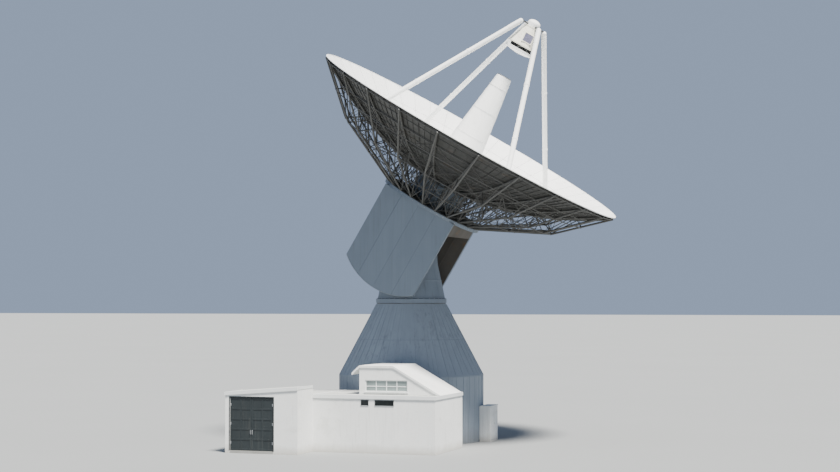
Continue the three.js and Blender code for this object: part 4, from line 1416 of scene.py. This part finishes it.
def make_window():
    """The raised room's window row: frame, sill, three mullions and the glass."""
    low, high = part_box("penthouse_glass")
    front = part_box("penthouse_front_wall")[0].y
    glass = low.y
    bar = 0.05
    with shaping("window_frame", *WHITE_TRIM, bevel=0.005) as bm:
        for z in (low.z, high.z - bar):
            add_block(bm, (low.x, glass - 0.02, z), (high.x, glass + 0.04, z + bar))
        for x in spread(low.x, high.x - bar, 4):
            add_block(bm, (x, glass - 0.02, low.z + bar), (x + bar, glass + 0.04, high.z - bar))
        middle = low.z + 0.42 * (high.z - low.z)
        add_block(bm, (low.x + bar, glass - 0.018, middle), (high.x - bar, glass + 0.036, middle + 0.04))
    sill = (low.x - 0.06, front - 0.07, low.z - 0.05), (high.x + 0.06, glass - 0.022, low.z + 0.001)
    block("window_sill", *sill, *WHITE_TRIM, bevel=0.006)
    paint_node("penthouse_glass", window_glass)


def make_cabinet():
    """Doors, louvres and a rain cap on the side cabinet."""
    low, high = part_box("side_cabinet")
    face = high.x + 0.02
    middle = (low.y + high.y) / 2
    cap = (low.x + 0.02, low.y - 0.03, high.z), (high.x + 0.04, high.y + 0.03, high.z + 0.05)
    block("cabinet_cap", *cap, *WHITE_TRIM, bevel=0.008)
    with shaping("cabinet_doors", "base", "render", wall_render, bevel=0.003) as bm:
        for y0, y1 in ((low.y + 0.05, middle - 0.01), (middle + 0.01, high.y - 0.05)):
            add_block(bm, (high.x, y0, 0.12), (face, y1, high.z - 0.08))
        for y in (middle - 0.09, middle + 0.05):
            add_block(bm, (face, y, 1.0), (high.x + 0.045, y + 0.04, 1.16))
        for z in spread(1.55, 1.8, 5):
            for y0, y1 in ((low.y + 0.15, middle - 0.1), (middle + 0.1, high.y - 0.15)):
                add_beam(bm, (high.x + 0.025, y0, z), (high.x + 0.025, y1, z), 0.006, 0.03, (0.7, 0, -0.7))


def make_doors():
    """Two framed leaves with pressed panels, each with its hinges and handle."""
    rows, columns = 5, 2
    stile = 0.1
    for word, sign in (("left", 1), ("right", -1)):
        node, body = f"garage_door_{word}", f"door_{word}"
        low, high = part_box(node)
        hinge, meeting = (low.x, high.x) if sign > 0 else (high.x, low.x)
        front, back = low.y, high.y
        bottom, top = low.z + 0.016, high.z - 0.016
        with shaping(f"leaf_{word}", body, "door_grey", door_paint, bevel=0.006, stands_for=(node,)) as bm:
            add_block(bm, (low.x, front + 0.018, bottom), (high.x, back - 0.018, top))
            for z in spread(bottom, top - stile, rows):
                add_block(bm, (low.x, front, z), (high.x, back, z + stile))
            for x in spread(low.x, high.x - stile, columns):
                add_block(bm, (x, front + 0.002, bottom), (x + stile, back - 0.002, top))
        with shaping(f"hinges_{word}", body, "door_grey", zinc) as bm:
            for z in HINGE_HEIGHTS:
                place = Vector((hinge + sign * 0.04, front + 0.04, z))
                add_tube(bm, place, place + Vector((0, 0, 0.16)), 0.045, 16)
        with shaping(f"handle_{word}", body, "door_grey", zinc, bevel=0.004) as bm:
            x = meeting - sign * 0.05
            add_block(bm, (x - 0.018, front - 0.012, 1.05), (x + 0.018, front, 1.3))
            add_beam(bm, (x, front - 0.045, 1.09), (x, front - 0.045, 1.26), 0.02, 0.02, (1, 0, 0))
            for z in (1.09, 1.25):
                add_block(bm, (x - 0.01, front - 0.05, z), (x + 0.01, front - 0.01, z + 0.02))


def make_doorway():
    """The steel lining round the garage doorway."""
    left, front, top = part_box("garage_lintel")[0]
    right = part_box("garage_lintel")[1].x
    with shaping("doorway_frame", "base", "door_grey", door_paint, bevel=0.004) as bm:
        for x0, x1, bottom in ((left - 0.06, left, 0.15), (right, right + 0.06, 0.15), (left, right, top)):
            add_block(bm, (x0, front - 0.015, bottom), (x1, front, top + 0.06))


# Stage

EYE = Vector((32.53, -94.69, 8.41))
FRAME_ASPECT = 840 / 472
# Share of the frame that the object takes, across or upwards
FILL = 0.93
FLOOR_REACH = 900
FLOOR_LEVEL = -0.003
TOWARD_SUN = Vector((0.35, -0.28, 0.87))


def make_camera():
    """The photograph's viewpoint, with a lens that fills the frame with the object."""
    data = bpy.data.cameras.new("camera")
    camera = linked("camera", data)
    bpy.context.scene.camera = camera
    points = [v.co for node in frame["nodes"].values() for v in node.data.vertices]
    aim = sum(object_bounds(), Vector()) / 2
    for _ in range(4):
        turn = (aim - EYE).to_track_quat("-Z", "Y")
        seen = [turn.inverted() @ (point - EYE) for point in points]
        across = [p.x / -p.z for p in seen]
        upward = [p.y / -p.z for p in seen]
        middle = Vector(((max(across) + min(across)) / 2, (max(upward) + min(upward)) / 2, -1))
        aim = EYE + turn @ (middle * (aim - EYE).length)
    half = max(max(across) - min(across), (max(upward) - min(upward)) * FRAME_ASPECT) / 2 / FILL
    data.sensor_width = 36
    data.lens = data.sensor_width / 2 / half
    data.clip_end = 3000
    camera.location = EYE
    camera.rotation_mode = "QUATERNION"
    camera.rotation_quaternion = (aim - EYE).to_track_quat("-Z", "Y")


def make_floor():
    mesh = bpy.data.meshes.new("floor")
    square = ((-1, -1), (1, -1), (1, 1), (-1, 1))
    corners = [(x * FLOOR_REACH, y * FLOOR_REACH, FLOOR_LEVEL) for x, y in square]
    mesh.from_pydata(corners, [], [(0, 1, 2, 3)])
    paint = Look("stage_paint", (0.27, 0.28, 0.28), roughness=0.9, specular=0.1).mottle(0.05, 0.02)
    mesh.materials.append(paint.done())
    linked("floor", mesh)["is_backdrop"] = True


def make_lights():
    world = bpy.data.worlds.new("sky")
    bpy.context.scene.world = world
    world.use_nodes = True
    background = world.node_tree.nodes["Background"].inputs
    background["Color"].default_value = (0.50, 0.63, 0.88, 1)
    background["Strength"].default_value = 0.6
    sun = bpy.data.lights.new("key", "SUN")
    sun.energy = 13.0
    sun.angle = math.radians(13)
    sun.color = (1.0, 0.96, 0.9)
    key = linked("key", sun)
    key.rotation_mode = "QUATERNION"
    key.rotation_quaternion = TOWARD_SUN.to_track_quat("Z", "Y")


# Operators

class ANTENNA_OT_stage(bpy.types.Operator):
    """Make the floor, the lights and the camera"""

    bl_idname = "antenna.stage"
    bl_label = "Stage"

    def execute(self, context):
        make_camera()
        make_floor()
        make_lights()
        return {"FINISHED"}


class ANTENNA_OT_reflector(bpy.types.Operator):
    """Make the reflector's panels, their frames and the rolled rim"""

    bl_idname = "antenna.reflector"
    bl_label = "Reflector"

    def execute(self, context):
        make_panels()
        make_panel_frames()
        make_adjusters()
        make_rim()
        return {"FINISHED"}


class ANTENNA_OT_back_structure(bpy.types.Operator):
    """Make the ribs, hoops and bracing behind the reflector, and the hub"""

    bl_idname = "antenna.back_structure"
    bl_label = "Back structure"

    def execute(self, context):
        make_lattice()
        make_hub()
        return {"FINISHED"}


class ANTENNA_OT_trunk(bpy.types.Operator):
    """Make the clad trunk with its pins and ballast"""

    bl_idname = "antenna.trunk"
    bl_label = "Trunk"

    def execute(self, context):
        make_cheek(-1, "near")
        make_cheek(1, "far")
        make_trunk_plates()
        return {"FINISHED"}


class ANTENNA_OT_feed(bpy.types.Operator):
    """Make the feed cone and its window"""

    bl_idname = "antenna.feed"
    bl_label = "Feed"

    def execute(self, context):
        make_feed()
        return {"FINISHED"}


class ANTENNA_OT_subreflector(bpy.types.Operator):
    """Make the legs, the apex, the cabin and the subreflector"""

    bl_idname = "antenna.subreflector"
    bl_label = "Legs and subreflector"

    def execute(self, context):
        make_legs()
        make_apex()
        make_subreflector()
        return {"FINISHED"}


class ANTENNA_OT_head(bpy.types.Operator):
    """Make the turning head with its bearings"""

    bl_idname = "antenna.head"
    bl_label = "Turning head"

    def execute(self, context):
        make_head()
        make_turntable()
        return {"FINISHED"}


class ANTENNA_OT_pedestal(bpy.types.Operator):
    """Make the clad pedestal and its bearing ring"""

    bl_idname = "antenna.pedestal"
    bl_label = "Pedestal"

    def execute(self, context):
        make_pedestal()
        return {"FINISHED"}


class ANTENNA_OT_building(bpy.types.Operator):
    """Finish the service building: walls, roofs, vents, side cabinet and window row"""

    bl_idname = "antenna.building"
    bl_label = "Service building"

    def execute(self, context):
        make_walls()
        make_roofs()
        make_vents()
        make_cabinet()
        make_window()
        return {"FINISHED"}


class ANTENNA_OT_doors(bpy.types.Operator):
    """Make the garage doors and their frame"""

    bl_idname = "antenna.doors"
    bl_label = "Garage doors"

    def execute(self, context):
        make_doors()
        make_doorway()
        return {"FINISHED"}


OPERATORS = (ANTENNA_OT_stage, ANTENNA_OT_reflector, ANTENNA_OT_back_structure, ANTENNA_OT_trunk,
             ANTENNA_OT_feed, ANTENNA_OT_subreflector, ANTENNA_OT_head, ANTENNA_OT_pedestal,
             ANTENNA_OT_building, ANTENNA_OT_doors)


class ANTENNA_PT_panel(bpy.types.Panel):
    """The antenna's sizes, colours and makers"""

    bl_label = "Antenna"
    bl_idname = "ANTENNA_PT_panel"
    bl_space_type = "VIEW_3D"
    bl_region_type = "UI"
    bl_category = "Antenna"

    def draw(self, context):
        for group in (sizes(), colours()):
            box = self.layout.box()
            for name in group.__annotations__:
                box.prop(group, name)
        for operator in OPERATORS:
            self.layout.operator(operator.bl_idname)


CLASSES = (AntennaSizes, AntennaColours, *OPERATORS, ANTENNA_PT_panel)


def register():
    for cls in CLASSES:
        bpy.utils.register_class(cls)
    bpy.types.Scene.antenna_sizes = PointerProperty(type=AntennaSizes)
    bpy.types.Scene.antenna_colours = PointerProperty(type=AntennaColours)


def unregister():
    del bpy.types.Scene.antenna_sizes
    del bpy.types.Scene.antenna_colours
    for cls in reversed(CLASSES):
        bpy.utils.unregister_class(cls)


def main():
    register()
    for operator in OPERATORS:
        group, name = operator.bl_idname.split(".")
        getattr(getattr(bpy.ops, group), name)()


if __name__ == "__main__":
    main()
